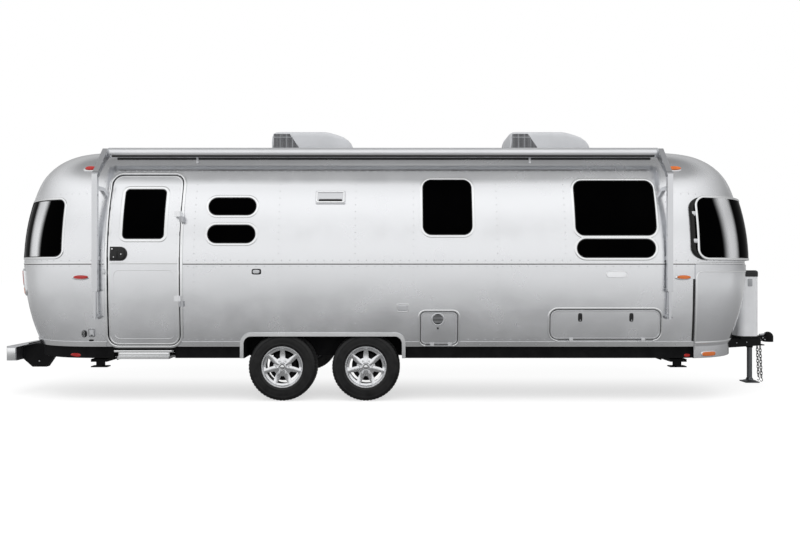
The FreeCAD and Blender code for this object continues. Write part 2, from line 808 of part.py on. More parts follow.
def build_trim():
    """Wheel arch bands and the rub rail around the foot of the walls."""
    bands = []
    depth = (at.arch_face - at.arch_depth, at.arch_face)
    for _, side in SIDES:
        bands.append(arch_space(side, at.fit, depth).cut(arch_space(side, at.arch_band)))
    tall = solid_box((-FAR, FAR), (-FAR, FAR), (0.0, float(at.rail_top)))
    for where in ("rear", "middle", "front"):
        strip = layer(where, -at.rail_proud, -at.fit).common(tall)
        if where == "middle":
            for side, rear, front in rail_gaps():
                span = (-FAR, 0.0) if side == CURB else (0.0, FAR)
                strip = strip.cut(solid_box((float(rear), float(front)), span, (0.0, FAR)))
        if where == "front":
            strip = strip.cut(solid_box((at.guard_rear - 1.0, FAR), (-FAR, FAR), (0.0, FAR)))
        bands += strip.Solids
    node(feature("LowerTrim", Part.makeCompound(bands)), "lower_trim")


# ---------------------------------------------------------------- doors and lids

def hinge_axis_y():
    return -(at.half_width + at.hinge_proud)


def hinge_axis_x():
    return at.door_front + at.door_gap + 7.0


def door_hinge(start, owner):
    """Half of a hinge: the lower half is on the wall, the upper half on the leaf."""
    half = at.hinge_length * 0.5
    x = float(hinge_axis_x())
    y = float(hinge_axis_y())
    low = float(start) if owner == "wall" else float(start + half + at.fit)
    tall = half - at.fit
    knuckle = Part.makeCylinder(at.hinge_radius, tall, V(x, y, low))
    if owner == "wall":
        span = (x, x + 34.0)
    else:
        span = (x - 62.0, x)
    strap = solid_box(span, (y - 0.5 * at.hinge_radius, -900.0), (low, low + tall))
    strap = trimmed(strap)
    strap = strap.common(solid_box((-FAR, FAR), (-FAR, -1000.0), (0.0, FAR)))
    outside = [solid for solid in strap.Solids if solid.CenterOfMass.y < -1200]
    return outside[0].fuse(knuckle)


def build_door():
    """Entry door leaf with its pane, hinges and handle."""
    shell = layer("middle", 0.0, at.wall_thickness)
    leaf = shell.common(door_space(0.0, 0.0))
    x, z, corner = DOOR_PANE
    leaf = leaf.cut(prism(x, z, corner, CURB))
    straps = [door_hinge(start, "leaf") for start in (at.hinge_low, at.hinge_high)]
    node(feature("DoorLeaf", Part.makeCompound([leaf] + straps)), "entry_door")
    node(feature("DoorPane", panes((DOOR_PANE,), CURB)[0]), "entry_door_window")
    plate = layer("middle", -22.0, -at.fit).common(prism((-3179, -3004), (1492, 1640), 22, CURB))
    node(feature("DoorLock", plate), "entry_door_handle")
    return [door_hinge(start, "wall") for start in (at.hinge_low, at.hinge_high)]


def lid_axis(bottom):
    """Distance from the centre plane and height of a lid's hinge axis."""
    height = bottom - at.lid_axis_drop
    return half_width_at(height) + at.lid_axis_proud, float(height)


def lid_knuckles(start, bottom, owner):
    """One knuckle and its tab, on the wall below a lid or on the lid itself."""
    away, height = lid_axis(bottom)
    x = (start, start + 40.0) if owner == "wall" else (start + 40.0 + at.fit, start + 80.0)
    knuckle = Part.makeCylinder(at.lid_knuckle, x[1] - x[0], V(x[0], -away, height), V(1, 0, 0))
    if owner == "wall":
        z = (height - at.lid_knuckle, height)
    else:
        z = (height, bottom + 14.0)
    tab = trimmed(solid_box(x, (-away - 0.5 * at.lid_knuckle, -away + 30.0), z))
    tab = [piece for piece in tab.Solids if piece.CenterOfMass.y < -away + 8.0]
    return tab[0].fuse(knuckle)


def build_lids(door_hinges):
    """The front storage hatch and the water heater's door, both hinged along the bottom."""
    shell = layer("middle", 0.0, at.wall_thickness)
    hatch = shell.common(hatch_space(0.0))
    heater = shell.common(heater_space(0.0))
    hatch_starts = (at.hatch_rear + 160.0, at.hatch_front - 240.0)
    heater_starts = (at.heater_rear + 60.0, at.heater_front - 140.0)
    fixed = []
    for name, leaf, starts, bottom in (
        ("storage_hatch", hatch, hatch_starts, at.hatch_bottom),
        ("heater_door", heater, heater_starts, at.heater_bottom),
    ):
        moving = [lid_knuckles(float(start), bottom, "lid") for start in starts]
        fixed += [lid_knuckles(float(start), bottom, "wall") for start in starts]
        pieces = Part.makeCompound([leaf] + moving)
        node(feature(name.title().replace("_", ""), pieces), name)
    node(feature("Hinges", Part.makeCompound(door_hinges + fixed)), "hinges")


# ---------------------------------------------------------------- front guards and lamps

def build_guards():
    """Bright stone guards on the front corners and the dark guard over the front window."""
    sheet_metal = layer("front", -at.guard_proud, -at.fit)
    ring = base_slab(-at.guard_proud, at.skirt_bottom, at.wall_bottom)
    ring = ring.cut(base_slab(at.skirt_inset - at.fit, at.skirt_bottom - 1.0, at.wall_bottom + 1.0))
    full = sheet_metal.fuse(ring)
    corners = []
    for _, side in SIDES:
        span = (-FAR, -float(at.guard_inner)) if side == CURB else (float(at.guard_inner), FAR)
        region = solid_box((float(at.guard_rear), FAR), span, (0.0, at.belt_height - 12.0))
        corners.append(full.common(region))
    node(feature("StoneGuards", Part.makeCompound(corners)), "stone_guards")
    thin = layer("front", -at.screen_proud, at.screen_sheet - at.screen_proud)
    thick = layer("front", -at.screen_proud, -at.fit)
    rim = 26.0
    ahead = (float(at.guard_rear), FAR)
    region = solid_box(ahead, (-FAR, FAR), (float(at.screen_bottom), float(at.screen_top)))
    lip = solid_box(ahead, (-FAR, FAR), (at.screen_top - rim, float(at.screen_top)))
    foot = solid_box(ahead, (-FAR, FAR), (float(at.screen_bottom), at.screen_bottom + rim))
    screen = thin.common(region).fuse([thick.common(lip), thick.common(foot)])
    node(feature("WindowGuard", screen), "front_window_guard")


def build_lamps():
    """Marker lamps and reflectors, seated on the skin of the end caps."""
    found = []
    high = (2478.0, 2516.0)
    belt = (1300.0, 1340.0)
    places = (
        ("rear", (-3560.0, -3430.0), high),
        ("rear", (-3570.0, -3410.0), belt),
        ("front", (2780.0, 2890.0), high),
        ("front", (2800.0, 2930.0), belt),
    )
    for _, side in SIDES:
        for end, x, z in places:
            lens = layer(end, -20.0, -at.fit)
            found.append(lens.common(prism(x, z, 18.0, side)))
        lens = layer("rear", -20.0, -at.fit)
        across = (side * 820.0 - 70.0, side * 820.0 + 70.0)
        found.append(lens.common(prism(across, (1120.0, 1400.0), 40.0, -1, axis="x")))
    node(feature("Lamps", Part.makeCompound(found)), "marker_lamps")


# ---------------------------------------------------------------- roof and awning

def build_cooler(label, place):
    """A roof air conditioner: louvred at the rear, flat on top, sloping down to a round nose."""
    owner = body(label + "_body")
    profile = sketch(owner, label + "_side", "XZ_Plane")
    base = at.cooler_top - 290.0
    start = at.cooler_rear_place if place == "rear" else at.cooler_front_place
    corners = (
        (start, base),
        (start + at.cooler_length, base),
        (start + at.cooler_length, at.cooler_top - 190.0),
        (start + at.cooler_length * 0.985, at.cooler_top - 105.0),
        (start + at.cooler_length * 0.93, at.cooler_top - 62.0),
        (start + at.cooler_length * 0.66, at.cooler_top - 4.0),
        (start + at.cooler_length * 0.58, at.cooler_top),
        (start + 42.0, at.cooler_top),
        (start + 14.0, at.cooler_top - 14.0),
        (start, at.cooler_top - 60.0),
    )
    outline(profile, corners)
    pad(owner, label + "_pad", profile, at.cooler_half * 2.0, middle=True)
    doc.recompute()
    shape = owner.Shape
    edges = [
        edge for edge in shape.Edges
        if abs(abs(edge.CenterOfMass.y) - at.cooler_half) < 1 and edge.CenterOfMass.z > base + 40
        and edge.CenterOfMass.z > at.cooler_top - 120
    ]
    rounded = shape.makeFillet(46.0, edges) if edges else shape
    cooler = trimmed(rounded)
    node(feature(label + "_shell", cooler), label)


def arm_shape(place):
    """An awning arm: a post beside the wall, bent inward at the top to the roller."""
    face = float(at.arm_face)
    back = face - at.arm_depth
    elbow = 2400.0
    top = float(at.roller_height) + 22.0
    head = float(at.roller_place)
    points = [
        (face, 1170.0), (face, elbow), (head + 30.0, top + 18.0), (head - 30.0, top + 18.0),
        (head - 30.0, top - 46.0), (back, elbow - 20.0), (back, 1170.0),
    ]
    outline_points = [V(place, -away, height) for away, height in points]
    face_shape = Part.Face(Part.makePolygon(outline_points + outline_points[:1]))
    upper = face_shape.extrude(V(at.arm_width, 0, 0))
    slim = at.arm_width * 0.3
    lower = solid_box(
        (place + slim, place + at.arm_width - slim), (-face + 6.0, -back), (float(at.arm_bottom), 1170.0)
    )
    feet = [
        solid_box((place + 8.0, place + at.arm_width - 8.0), (-back - 1.0, -1000.0), span)
        for span in ((880.0, 920.0), (1500.0, 1540.0), (2240.0, 2280.0))
    ]
    shape = trimmed(upper.fuse([lower] + feet))
    return max(shape.Solids, key=lambda solid: solid.Volume)


def build_awning():
    """The rolled awning on its two arms."""
    roller = rod(
        "Roller", at.roller_radius, at.roller_front - at.roller_rear - at.fit * 2.0,
        at.roller_rear + at.fit, -at.roller_place, at.roller_height, V(1, 0, 0),
    )
    node(roller, "awning_roller")
    rear = arm_shape(float(at.roller_rear - at.arm_width))
    front = arm_shape(float(at.roller_front))
    node(feature("AwningArms", Part.makeCompound([rear, front])), "awning_arms")


def build_vents():
    """Low roof vents and the range hood's outlet flap."""
    found = []
    for x in (-2760.0, 380.0):
        vent = solid_box((x, x + 420.0), (20.0, 440.0), (2700.0, 2850.0))
        edges = [edge for edge in vent.Edges if edge.CenterOfMass.z > 2849]
        found.append(trimmed(vent.makeFillet(18.0, edges)))
    grille = layer("middle", -14.0, -at.fit).common(prism((-1028, -708), (2102, 2241), 12, CURB))
    node(feature("Vents", Part.makeCompound(found + [grille])), "vents")


# ---------------------------------------------------------------- running gear

def revolved(owner, name, corners):
    """A ring about the wheel's own axis; corners are (distance along the axis, radius)."""
    profile = sketch(owner, name + "_profile", "XY_Plane")
    outline(profile, [(radius, along) for along, radius in corners])
    return turned(owner, name, profile, "Y_Axis")


FLANGE_EDGE = 13.0


def build_tyre(label):
    """Tyre about its own Y axis, the outer sidewall toward −Y."""
    owner = body(label)
    half = at.tyre_width * 0.5
    bead = FLANGE_EDGE + at.fit
    shoulder = 20.0
    sidewall = at.tyre_radius - at.rim_flange
    corners = (
        (-half + bead, at.rim_radius + at.fit),
        (-half + bead, at.rim_flange + at.fit),
        (-half + 2.0, at.rim_flange + at.fit),
        (-half, at.rim_flange + sidewall * 0.185),
        (-half, at.tyre_radius - sidewall * 0.44),
        (-half + shoulder, at.tyre_radius - sidewall * 0.1),
        (-half + shoulder * 1.9, at.tyre_radius),
        (half - shoulder * 1.9, at.tyre_radius),
        (half - shoulder, at.tyre_radius - sidewall * 0.1),
        (half, at.tyre_radius - sidewall * 0.44),
        (half, at.rim_flange + sidewall * 0.185),
        (half - 2.0, at.rim_flange + at.fit),
        (half - bead, at.rim_flange + at.fit),
        (half - bead, at.rim_radius + at.fit),
    )
    revolved(owner, label + "_ring", corners)
    return node(owner, label)


def build_wheel(label):
    """Alloy wheel: barrel, spoked disc with a hub boss, and one window between spokes."""
    owner = body(label)
    half = at.tyre_width * 0.5
    inner = at.rim_radius - at.rim_barrel
    face = -half + at.disc_inset
    bore = at.spindle_radius + at.fit
    corners = (
        (-half + 1.0, inner),
        (-half + 1.0, at.rim_flange),
        (-half + FLANGE_EDGE, at.rim_flange),
        (-half + FLANGE_EDGE, at.rim_radius),
        (half - FLANGE_EDGE, at.rim_radius),
        (half - FLANGE_EDGE, at.rim_flange),
        (half - 1.0, at.rim_flange),
        (half - 1.0, inner),
        (face + at.disc_thickness, inner),
        (face + at.disc_thickness, at.hub_radius),
        (face + at.disc_thickness + 48.0, at.hub_radius),
        (face + at.disc_thickness + 48.0, bore),
        (face - 6.0, bore),
        (face - 6.0, at.hub_radius),
        (face, at.hub_radius + 6.0),
        (face, inner),
    )
    revolved(owner, label + "_turned", corners)
    doc.recompute()
    window = sketch(owner, label + "_window", "XZ_Plane")
    outline(window, (
        (at.hub_radius * -0.22, at.hub_radius + 34.0),
        (at.hub_radius * 0.22, at.hub_radius + 34.0),
        (at.rim_radius * 0.30, at.rim_radius - 34.0),
        (at.rim_radius * -0.30, at.rim_radius - 34.0),
    ))
    pocket = owner.newObject("PartDesign::Pocket", label + "_pocket")
    pocket.Profile = window
    pocket.Type = "ThroughAll"
    pocket.Midplane = True
    doc.recompute()
    pattern = owner.newObject("PartDesign::PolarPattern", label + "_spokes")
    pattern.Originals = [pocket]
    axis = next(part for part in owner.Origin.OriginFeatures if part.Role == "Y_Axis")
    pattern.Axis = (axis, [""])
    pattern.Angle = 360
    pattern.setExpression("Occurrences", formula(at.spoke_count))
    owner.Tip = pattern
    return node(owner, label)


def build_wheels():
    """Four wheels; those of the street side are turned to face outward."""
    centre = at.tyre_face - at.tyre_width * 0.5
    for end, place in (("rear", at.rear_axle), ("front", at.front_axle)):
        for name, side in SIDES:
            for maker, kind in ((build_tyre, "tyre"), (build_wheel, "wheel")):
                item = maker("%s_%s_%s" % (kind, end, name))
                if side == STREET:
                    item.Placement = FreeCAD.Placement(V(), FreeCAD.Rotation(V(0, 0, 1), 180))
                bind(
                    item,
                    Placement__Base__x=place,
                    Placement__Base__y=centre * float(side),
                    Placement__Base__z=at.axle_height,
                )


def build_axles():
    """Torsion axles: a square tube, trailing arms and spindles, hung from the belly pan."""
    inner = at.tyre_face - at.tyre_width - 40.0
    axles = []
    for end, place in (("rear", at.rear_axle), ("front", at.front_axle)):
        ahead = place + at.axle_trail
        half = at.axle_tube * 0.5
        middle = at.axle_height + 44.0
        pieces = [block(end + "_tube", (ahead - half, ahead + half), (-inner, inner),
                        (middle - half, at.skirt_bottom - at.fit))]
        for name, side in SIDES:
            tag = "%s_%s" % (end, name)
            near = (-inner - 34.0, -inner) if side == CURB else (inner, inner + 34.0)
            pieces.append(block(tag + "_arm", (place - 46.0, ahead + half), near,
                                (at.axle_height - 46.0, middle + half)))
            reach = at.tyre_face - at.disc_inset - inner - 30.0
            begin = inner + 30.0 if side == STREET else -(inner + 30.0)
            pieces.append(rod(tag + "_spindle", at.spindle_radius, reach, place, begin,
                              at.axle_height, V(0, side, 0)))
        axles.append(joined(end.title() + "Axle", pieces))
    node(together("Axles", axles), "axles")


# ---------------------------------------------------------------- tongue, jack and gas cover

CHAIN_LINKS = 17
LINK_RADIUS = 16.0
LINK_WIRE = 4.0
LINK_PITCH = 2.0 * (LINK_RADIUS - LINK_WIRE) - 0.3
CHAIN_SPREAD = 46.0
CHAIN_PLATE = 44.0


def drawbar_rail(side):
    """One straight rail of the drawbar, from the pan to the coupler."""
    half = at.rail_width * 0.5
    rear = float(at.pan_front) + at.fit
    front = float(at.drawbar_front)
    wide = side * at.drawbar_spread
    nose = side * at.drawbar_nose
    base = float(at.rail_level - at.rail_height)
    corners = [
        V(rear, wide - half, base), V(front, nose - half, base),
        V(front, nose + half, base), V(rear, wide + half, base),
    ]
    return Part.Face(Part.makePolygon(corners + corners[:1])).extrude(V(0, 0, at.rail_height))


def build_tongue():
    """Drawbar with its jack plate, rear tie and chain plate, and the ball coupler."""
    level = float(at.rail_level)
    base = level - at.rail_height
    plate = solid_box((at.jack_place - 50.0, float(at.drawbar_front)), (-84.0, 84.0), (level - 24.0, level))
    tie = solid_box((at.pan_front + 0.3, at.pan_front + 60.0),
                    (-float(at.drawbar_spread), float(at.drawbar_spread)), (base, base + 60.0))
    anchor = solid_box((at.drawbar_front - 12.0, at.drawbar_front + CHAIN_PLATE),
                       (-84.0, 84.0), (base, base + 12.0))
    frame = drawbar_rail(CURB).fuse([drawbar_rail(STREET), plate, tie, anchor])
    hole = Part.makeCylinder(at.jack_tube_radius + at.fit, 400, V(at.jack_place, 0, base - 100))
    tray = solid_box((at.cover_rear + 14.0, at.cover_front - 10.0),
                     (12.0 - at.cover_half, at.cover_half - 12.0),
                     (at.rail_level + at.fit, at.cover_bottom - at.fit))
    pieces = [frame.cut(hole).removeSplitter(), tray]
    node(feature("Drawbar", Part.makeCompound(pieces)), "drawbar")
    dome = rod("CouplerDome", at.coupler_radius, 74.0, at.ball_centre, 0.0, at.coupler_bottom)
    crown = ball("CouplerCrown", at.coupler_radius * 0.96, at.ball_centre, 0.0, at.coupler_bottom + 66.0)
    tail = block("CouplerTail", (at.drawbar_front + at.fit, at.ball_centre), (-48.0, 48.0),
                 (at.coupler_bottom + 12.0, at.coupler_bottom + 74.0))
    solid = joined("CouplerSolid", [dome, crown, tail])
    socket = ball("Socket", at.ball_radius, at.ball_centre, 0.0, at.ball_height)
    mouth = rod("SocketMouth", at.ball_radius, 200.0, at.ball_centre, 0.0, at.ball_height - 200.0)
    hollow = joined("CouplerHollow", [socket, mouth])
    node(less("Coupler", solid, hollow), "hitch_coupler")


def build_jack():
    """Tongue jack: outer tube with its power head, and the inner leg with its foot."""
    bore = at.jack_leg_radius + at.fit
    tube = rod("JackTube", at.jack_tube_radius, at.jack_tube_top - at.jack_tube_bottom,
               at.jack_place, 0.0, at.jack_tube_bottom)
    inside = rod("JackBore", bore, at.jack_tube_top - at.jack_tube_bottom - 14.0,
                 at.jack_place, 0.0, at.jack_tube_bottom - 1.0)
    flange = rod("JackFlange", at.jack_tube_radius + 26.0, 12.0, at.jack_place, 0.0,
                 at.rail_level + at.fit)
    head = block("JackHead", (at.jack_place - 42.0, at.jack_place + 66.0), (-52.0, 52.0),
                 (at.jack_tube_top - 12.0, at.jack_tube_top + 150.0))
    outer = joined("JackOuter", [tube, flange, head])
    node(less("JackHousing", outer, inside), "jack_tube")
    leg = rod("JackInner", at.jack_leg_radius, at.jack_leg_top - 4.0, at.jack_place, 0.0, 4.0)
    foot = block("JackFoot", (at.jack_place - at.foot_half, at.jack_place + at.foot_half),
                 (-at.foot_half, at.foot_half), (0.0, at.foot_thickness))
    collar = doc.addObject("Part::Cone", "JackCollar")
    bind(collar, Radius1=at.jack_leg_radius + 26.0, Radius2=at.jack_leg_radius, Height=26.0,
         Placement__Base__x=at.jack_place, Placement__Base__z=at.foot_thickness - 1.0)
    node(joined("JackLeg", [leg, foot, collar]), "jack_leg")


def build_gas_cover():
    """Aluminium cover over the gas bottles with its dark lid, on a tray across the drawbar."""
    across = (-float(at.cover_half), float(at.cover_half))
    x = (float(at.cover_rear), float(at.cover_front))
    box = solid_box(x, across, (float(at.cover_bottom), float(at.cover_top)))
    box = box.makeFillet(at.cover_corner, [edge for edge in box.Edges if runs_along(edge, "z")])
    node(feature("GasCover", box), "gas_cover")
    lid = solid_box(shrunk(x, -4.0), shrunk(across, -4.0), (at.cover_top + 0.3, float(at.lid_top)))
    lid = lid.makeFillet(at.cover_corner, [edge for edge in lid.Edges if runs_along(edge, "z")])
    top = [edge for edge in lid.Edges if edge.BoundBox.ZMin > at.lid_top - 1]
    node(feature("GasLid", lid.makeFillet(30.0, top)), "gas_cover_lid")



def build_chains():
    """Two safety chains that hang from the drawbar, each of alternate round links."""
    links = []
    top = at.rail_level - at.rail_height - LINK_RADIUS - LINK_WIRE - at.fit
    for ahead, side in ((10.0, CURB), (22.0, STREET)):
        for index in range(CHAIN_LINKS):
            facing = V(0, 1, 0) if index % 2 else V(1, 0, 0)
            centre = V(at.drawbar_front + ahead + 1.2 * index, side * CHAIN_SPREAD,
                       top - LINK_PITCH * index)
            links.append(Part.makeTorus(LINK_RADIUS, LINK_WIRE, centre, facing))
    node(feature("Chains", Part.makeCompound(links)), "safety_chains")


# ---------------------------------------------------------------- bumper, step and stabilisers

def build_bumper(pan):
    """Rear bumper with its cover plate, and the black brackets that carry it."""
    beam = block("BumperBeam", (at.bumper_rear, at.bumper_front), (-at.bumper_half, at.bumper_half),
                 (at.bumper_bottom, at.bumper_top))
    half = float(at.bumper_half)
    tail = float(at.rear_seam - at.rear_bulge)
    points = [(at.bumper_rear, at.bumper_top + at.fit), (at.bumper_front, at.bumper_top + at.fit),
              (tail + 229.0, 566.0), (tail + 229.0, 578.0), (at.bumper_front, 543.0),
              (at.bumper_rear, 543.0)]
    corners = [V(x, -half, z) for x, z in points]
    plate = Part.Face(Part.makePolygon(corners + corners[:1])).extrude(V(0, 2 * half, 0))
    cover = feature("BumperPlate", plate.cut(pan))
    node(together("Bumper", [beam, cover]), "rear_bumper")
    brackets = []
    front = at.bumper_front + at.fit
    outline_points = [(front, 394.0), (front, 520.0), (tail + 225.0, 556.0), (tail + 475.0, 556.0),
                      (tail + 475.0, 458.0), (tail + 445.0, 410.0), (tail + 365.0, 294.0),
                      (tail + 205.0, 294.0)]
    for _, side in SIDES:
        start = side * at.bracket_place - 0.5 * at.bracket_width
        corners = [V(x, start, z) for x, z in outline_points]
        shape = Part.Face(Part.makePolygon(corners + corners[:1])).extrude(V(0, at.bracket_width, 0))
        shape = shape.cut([pan, plate])
        brackets.append(max(shape.Solids, key=lambda solid: solid.Volume))
    node(feature("Brackets", Part.makeCompound(brackets)), "bumper_brackets")


def build_step():
    """The entry step, stowed in its bay below the door."""
    face = -at.step_face
    back = face + at.step_depth
    x = (at.step_rear, at.step_front)
    cheek = 12.0
    pieces = [
        block("StepUpper", x, (face + 26.0, back), (at.step_top - 22.0, at.step_top)),
        block("StepLower", (x[0] + 40.0, x[1] - 40.0), (face, back),
              (at.step_bottom, at.step_bottom + 30.0)),
        block("StepCheekRear", (x[0] + 40.0, x[0] + 40.0 + cheek), (face + 26.0, back),
              (at.step_bottom, at.step_top)),
        block("StepCheekFront", (x[1] - 40.0 - cheek, x[1] - 40.0), (face + 26.0, back),
              (at.step_bottom, at.step_top)),
    ]
    node(joined("Step", pieces), "entry_step")


def build_stays():
    """Four stabilisers: channels under the pan, and legs that swing down about their inner ends."""
    channels = []
    gap = 6.0
    half = at.stay_width * 0.5
    sheet_size = 8.0
    for end, place in (("rear", at.stay_rear_place), ("front", at.stay_front_place)):
        for name, side in SIDES:
            inner = side * (at.stay_pivot - 40.0)
            outer = side * (at.stay_pivot + at.stay_length * 0.5)
            span = sorted((float(inner), float(outer)))
            wide = (place - half - gap - sheet_size, place + half + gap + sheet_size)
            box = solid_box(wide, span, (at.stay_pivot_height - 26.0, at.skirt_bottom - at.fit))
            room = solid_box((place - half - gap, place + half + gap), (-FAR, FAR),
                             (0.0, at.skirt_bottom - 10.0))
            pin = Part.makeCylinder(at.stay_pin, wide[1] - wide[0],
                                    V(wide[0], side * at.stay_pivot, at.stay_pivot_height), V(1, 0, 0))
            channels.append(box.cut(room).fuse(pin))
            node(feature("Stay_%s_%s" % (end, name), stay_leg(place, side)),
                 "stabiliser_%s_%s" % (end, name))
    node(feature("StayChannels", Part.makeCompound(channels)), "stabiliser_channels")


def stay_leg(place, side):
    """A stabiliser leg, stowed flat, with its foot turned down at the outer end."""
    half = at.stay_width * 0.5
    thick = 15.0
    tip = side * (at.stay_pivot + at.stay_length)
    pivot = side * at.stay_pivot
    high = float(at.stay_pivot_height)
    span = sorted((float(pivot), float(tip)))
    arm = solid_box((place - half, place + half), span, (high - thick, high + thick))
    eye = Part.makeCylinder(19.0, at.stay_width, V(place - half, pivot, high), V(1, 0, 0))
    foot_span = sorted((float(tip), float(tip - side * 90.0)))
    neck = solid_box((place - 30.0, place + 30.0), foot_span, (high - 62.0, high - thick))
    shoe = solid_box((place - half, place + half), foot_span, (high - 74.0, high - 62.0))
    hole = Part.makeCylinder(at.stay_pin + at.fit, at.stay_width + 20.0,
                             V(place - half - 10.0, pivot, high), V(1, 0, 0))
    return arm.fuse([eye, neck, shoe]).cut(hole)


# ---------------------------------------------------------------- assemble and check

build_walls()
build_caps()
build_windows()
belly_pan = build_floor()
build_trim()
build_lids(build_door())
build_guards()
build_lamps()
build_cooler("air_conditioner_rear", "rear")
build_cooler("air_conditioner_front", "front")
build_awning()
build_vents()
build_wheels()
build_axles()
build_tongue()
build_jack()
build_gas_cover()
build_chains()
build_bumper(belly_pan)
build_step()
build_stays()
doc.recompute()


def check_document():
    """Stop on any failed object or broken shape before anything is written."""
    for item in doc.Objects:
        if "Invalid" in item.State or "Error" in item.State:
            raise RuntimeError("%s failed: %s" % (item.Name, item.State))
    for item in NODES:
        shape = item.Shape
        if shape.isNull() or not shape.isValid() or not shape.Solids:
            raise RuntimeError("%s has no valid shape" % item.Label)


check_document()
for part_node in NODES:
    part_node.Shape.exportStep("parts/%s.step" % part_node.Label)
print("%d nodes" % len(NODES))
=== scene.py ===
"""Looks of a travel caravan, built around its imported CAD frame. Metres throughout."""

import math

import bmesh
import bpy
from mathutils import Matrix, Vector

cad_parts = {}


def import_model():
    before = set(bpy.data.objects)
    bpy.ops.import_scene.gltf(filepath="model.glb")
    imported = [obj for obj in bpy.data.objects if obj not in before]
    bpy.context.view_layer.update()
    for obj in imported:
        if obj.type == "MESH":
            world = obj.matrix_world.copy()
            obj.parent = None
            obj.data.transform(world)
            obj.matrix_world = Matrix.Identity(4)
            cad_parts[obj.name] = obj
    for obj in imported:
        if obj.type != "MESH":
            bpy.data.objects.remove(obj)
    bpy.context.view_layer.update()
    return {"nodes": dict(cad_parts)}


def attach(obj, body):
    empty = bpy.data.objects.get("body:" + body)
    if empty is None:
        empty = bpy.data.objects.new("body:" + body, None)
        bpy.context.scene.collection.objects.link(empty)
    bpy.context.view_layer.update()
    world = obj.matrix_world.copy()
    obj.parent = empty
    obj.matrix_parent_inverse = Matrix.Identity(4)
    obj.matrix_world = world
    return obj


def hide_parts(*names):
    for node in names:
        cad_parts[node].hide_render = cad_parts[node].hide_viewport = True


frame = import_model()
NODES = frame["nodes"]

CURB = -1
STREET = 1
SIDES = (("curb", CURB), ("street", STREET))

# The body's outer surface, from the same few arcs as the model.
BELT = 1.467
HALF = 1.289
LOWER_ARC = 9.3
UPPER_ARC = 2.6
SHOULDER = (0.5327, 2.1019, 0.65)
CROWN = (-0.404, 3.212)
SHOULDER_START = 2.3135
SHOULDER_END = 2.7377
SEAM = {"rear": -3.270, "front": 2.673}
BULGE = {"rear": 1.245, "front": 1.237}
TOE_ARC = 2.0
POWER = 2.6
TAU = 2.0 * math.pi


def half_width(z):
    """Half the body's width at one height."""
    if z <= SHOULDER_START:
        arc = LOWER_ARC if z < BELT else UPPER_ARC
        return HALF - arc + math.sqrt(arc * arc - (z - BELT) ** 2)
    if z <= SHOULDER_END:
        across, up, radius = SHOULDER
        return across + math.sqrt(max(radius * radius - (z - up) ** 2, 0.0))
    return math.sqrt(max(CROWN[1] ** 2 - (z - CROWN[0]) ** 2, 0.0))


def reach(z, end):
    """How far an end cap bulges past its seam at one height."""
    if z >= BELT:
        return BULGE[end] * half_width(z) / HALF
    return BULGE[end] - TOE_ARC + math.sqrt(TOE_ARC ** 2 - (BELT - z) ** 2)


def squircle(share):
    """The other coordinate of the end caps' plan curve, both as shares of their greatest."""
    return (1.0 - min(abs(share), 1.0) ** POWER) ** (1.0 / POWER)


def side_map(side):
    """Maps (x, z) to a point on one side of the body."""
    def place(x, z):
        y = half_width(z)
        for end, way in (("rear", -1), ("front", 1)):
            past = (x - SEAM[end]) * way
            if past > 0:
                y *= squircle(past / reach(z, end))
        return Vector((x, side * y, z))
    return place


def end_map(end):
    """Maps (y, z) to a point on one end of the body."""
    way = 1 if end == "front" else -1

    def place(y, z):
        out = reach(z, end) * squircle(y / half_width(z))
        return Vector((SEAM[end] + way * out, y, z))
    return place


def corner_map(end, side, near_x, far_y, width):
    """Maps (distance from the x edge, z) to a point on one corner of the body."""
    way = 1 if end == "front" else -1

    def place(along, z):
        first = math.asin(min(abs(near_x - SEAM[end]) / reach(z, end), 1.0) ** (POWER / 2))
        last = math.acos(min(far_y / half_width(z), 1.0) ** (POWER / 2))
        turn = first + (last - first) * along / width
        x = SEAM[end] + way * reach(z, end) * max(math.sin(turn), 0.0) ** (2 / POWER)
        y = half_width(z) * max(math.cos(turn), 0.0) ** (2 / POWER)
        return Vector((x, side * y, z))
    return place


def station(place, a, b):
    """A point of a surface with its outward normal."""
    step = 0.002
    point = place(a, b)
    along = place(a + step, b) - place(a - step, b)
    up = place(a, b + step) - place(a, b - step)
    normal = along.cross(up).normalized()
    heart = Vector((max(min(point.x, SEAM["front"]), SEAM["rear"]), 0.0, 1.5))
    if normal.dot(point - heart) < 0:
        normal.negate()
    return point, normal


def stations(place, path):
    """Points and normals along a path of surface coordinates."""
    return [station(place, a, b) for a, b in path]


def rounded(x, z, corner, steps=8, straight=6):
    """A closed rounded rectangle, with points along its straight sides as well."""
    corners = (
        (x[1] - corner, z[0] + corner, -90), (x[1] - corner, z[1] - corner, 0),
        (x[0] + corner, z[1] - corner, 90), (x[0] + corner, z[0] + corner, 180),
    )
    points = []
    for index, (cx, cz, start) in enumerate(corners):
        for step in range(steps + 1):
            angle = math.radians(start + 90.0 * step / steps)
            points.append((cx + corner * math.cos(angle), cz + corner * math.sin(angle)))
        following = corners[(index + 1) % 4]
        angle = math.radians(following[2])
        target = (following[0] + corner * math.cos(angle), following[1] + corner * math.sin(angle))
        last = points[-1]
        for step in range(1, straight):
            share = step / straight
            points.append((last[0] + (target[0] - last[0]) * share,
                           last[1] + (target[1] - last[1]) * share))
    return points


def line(a, b, count):
    """Evenly spaced surface coordinates from a to b."""
    return [(a[0] + (b[0] - a[0]) * i / count, a[1] + (b[1] - a[1]) * i / count)
            for i in range(count + 1)]


# ---------------------------------------------------------------- meshes

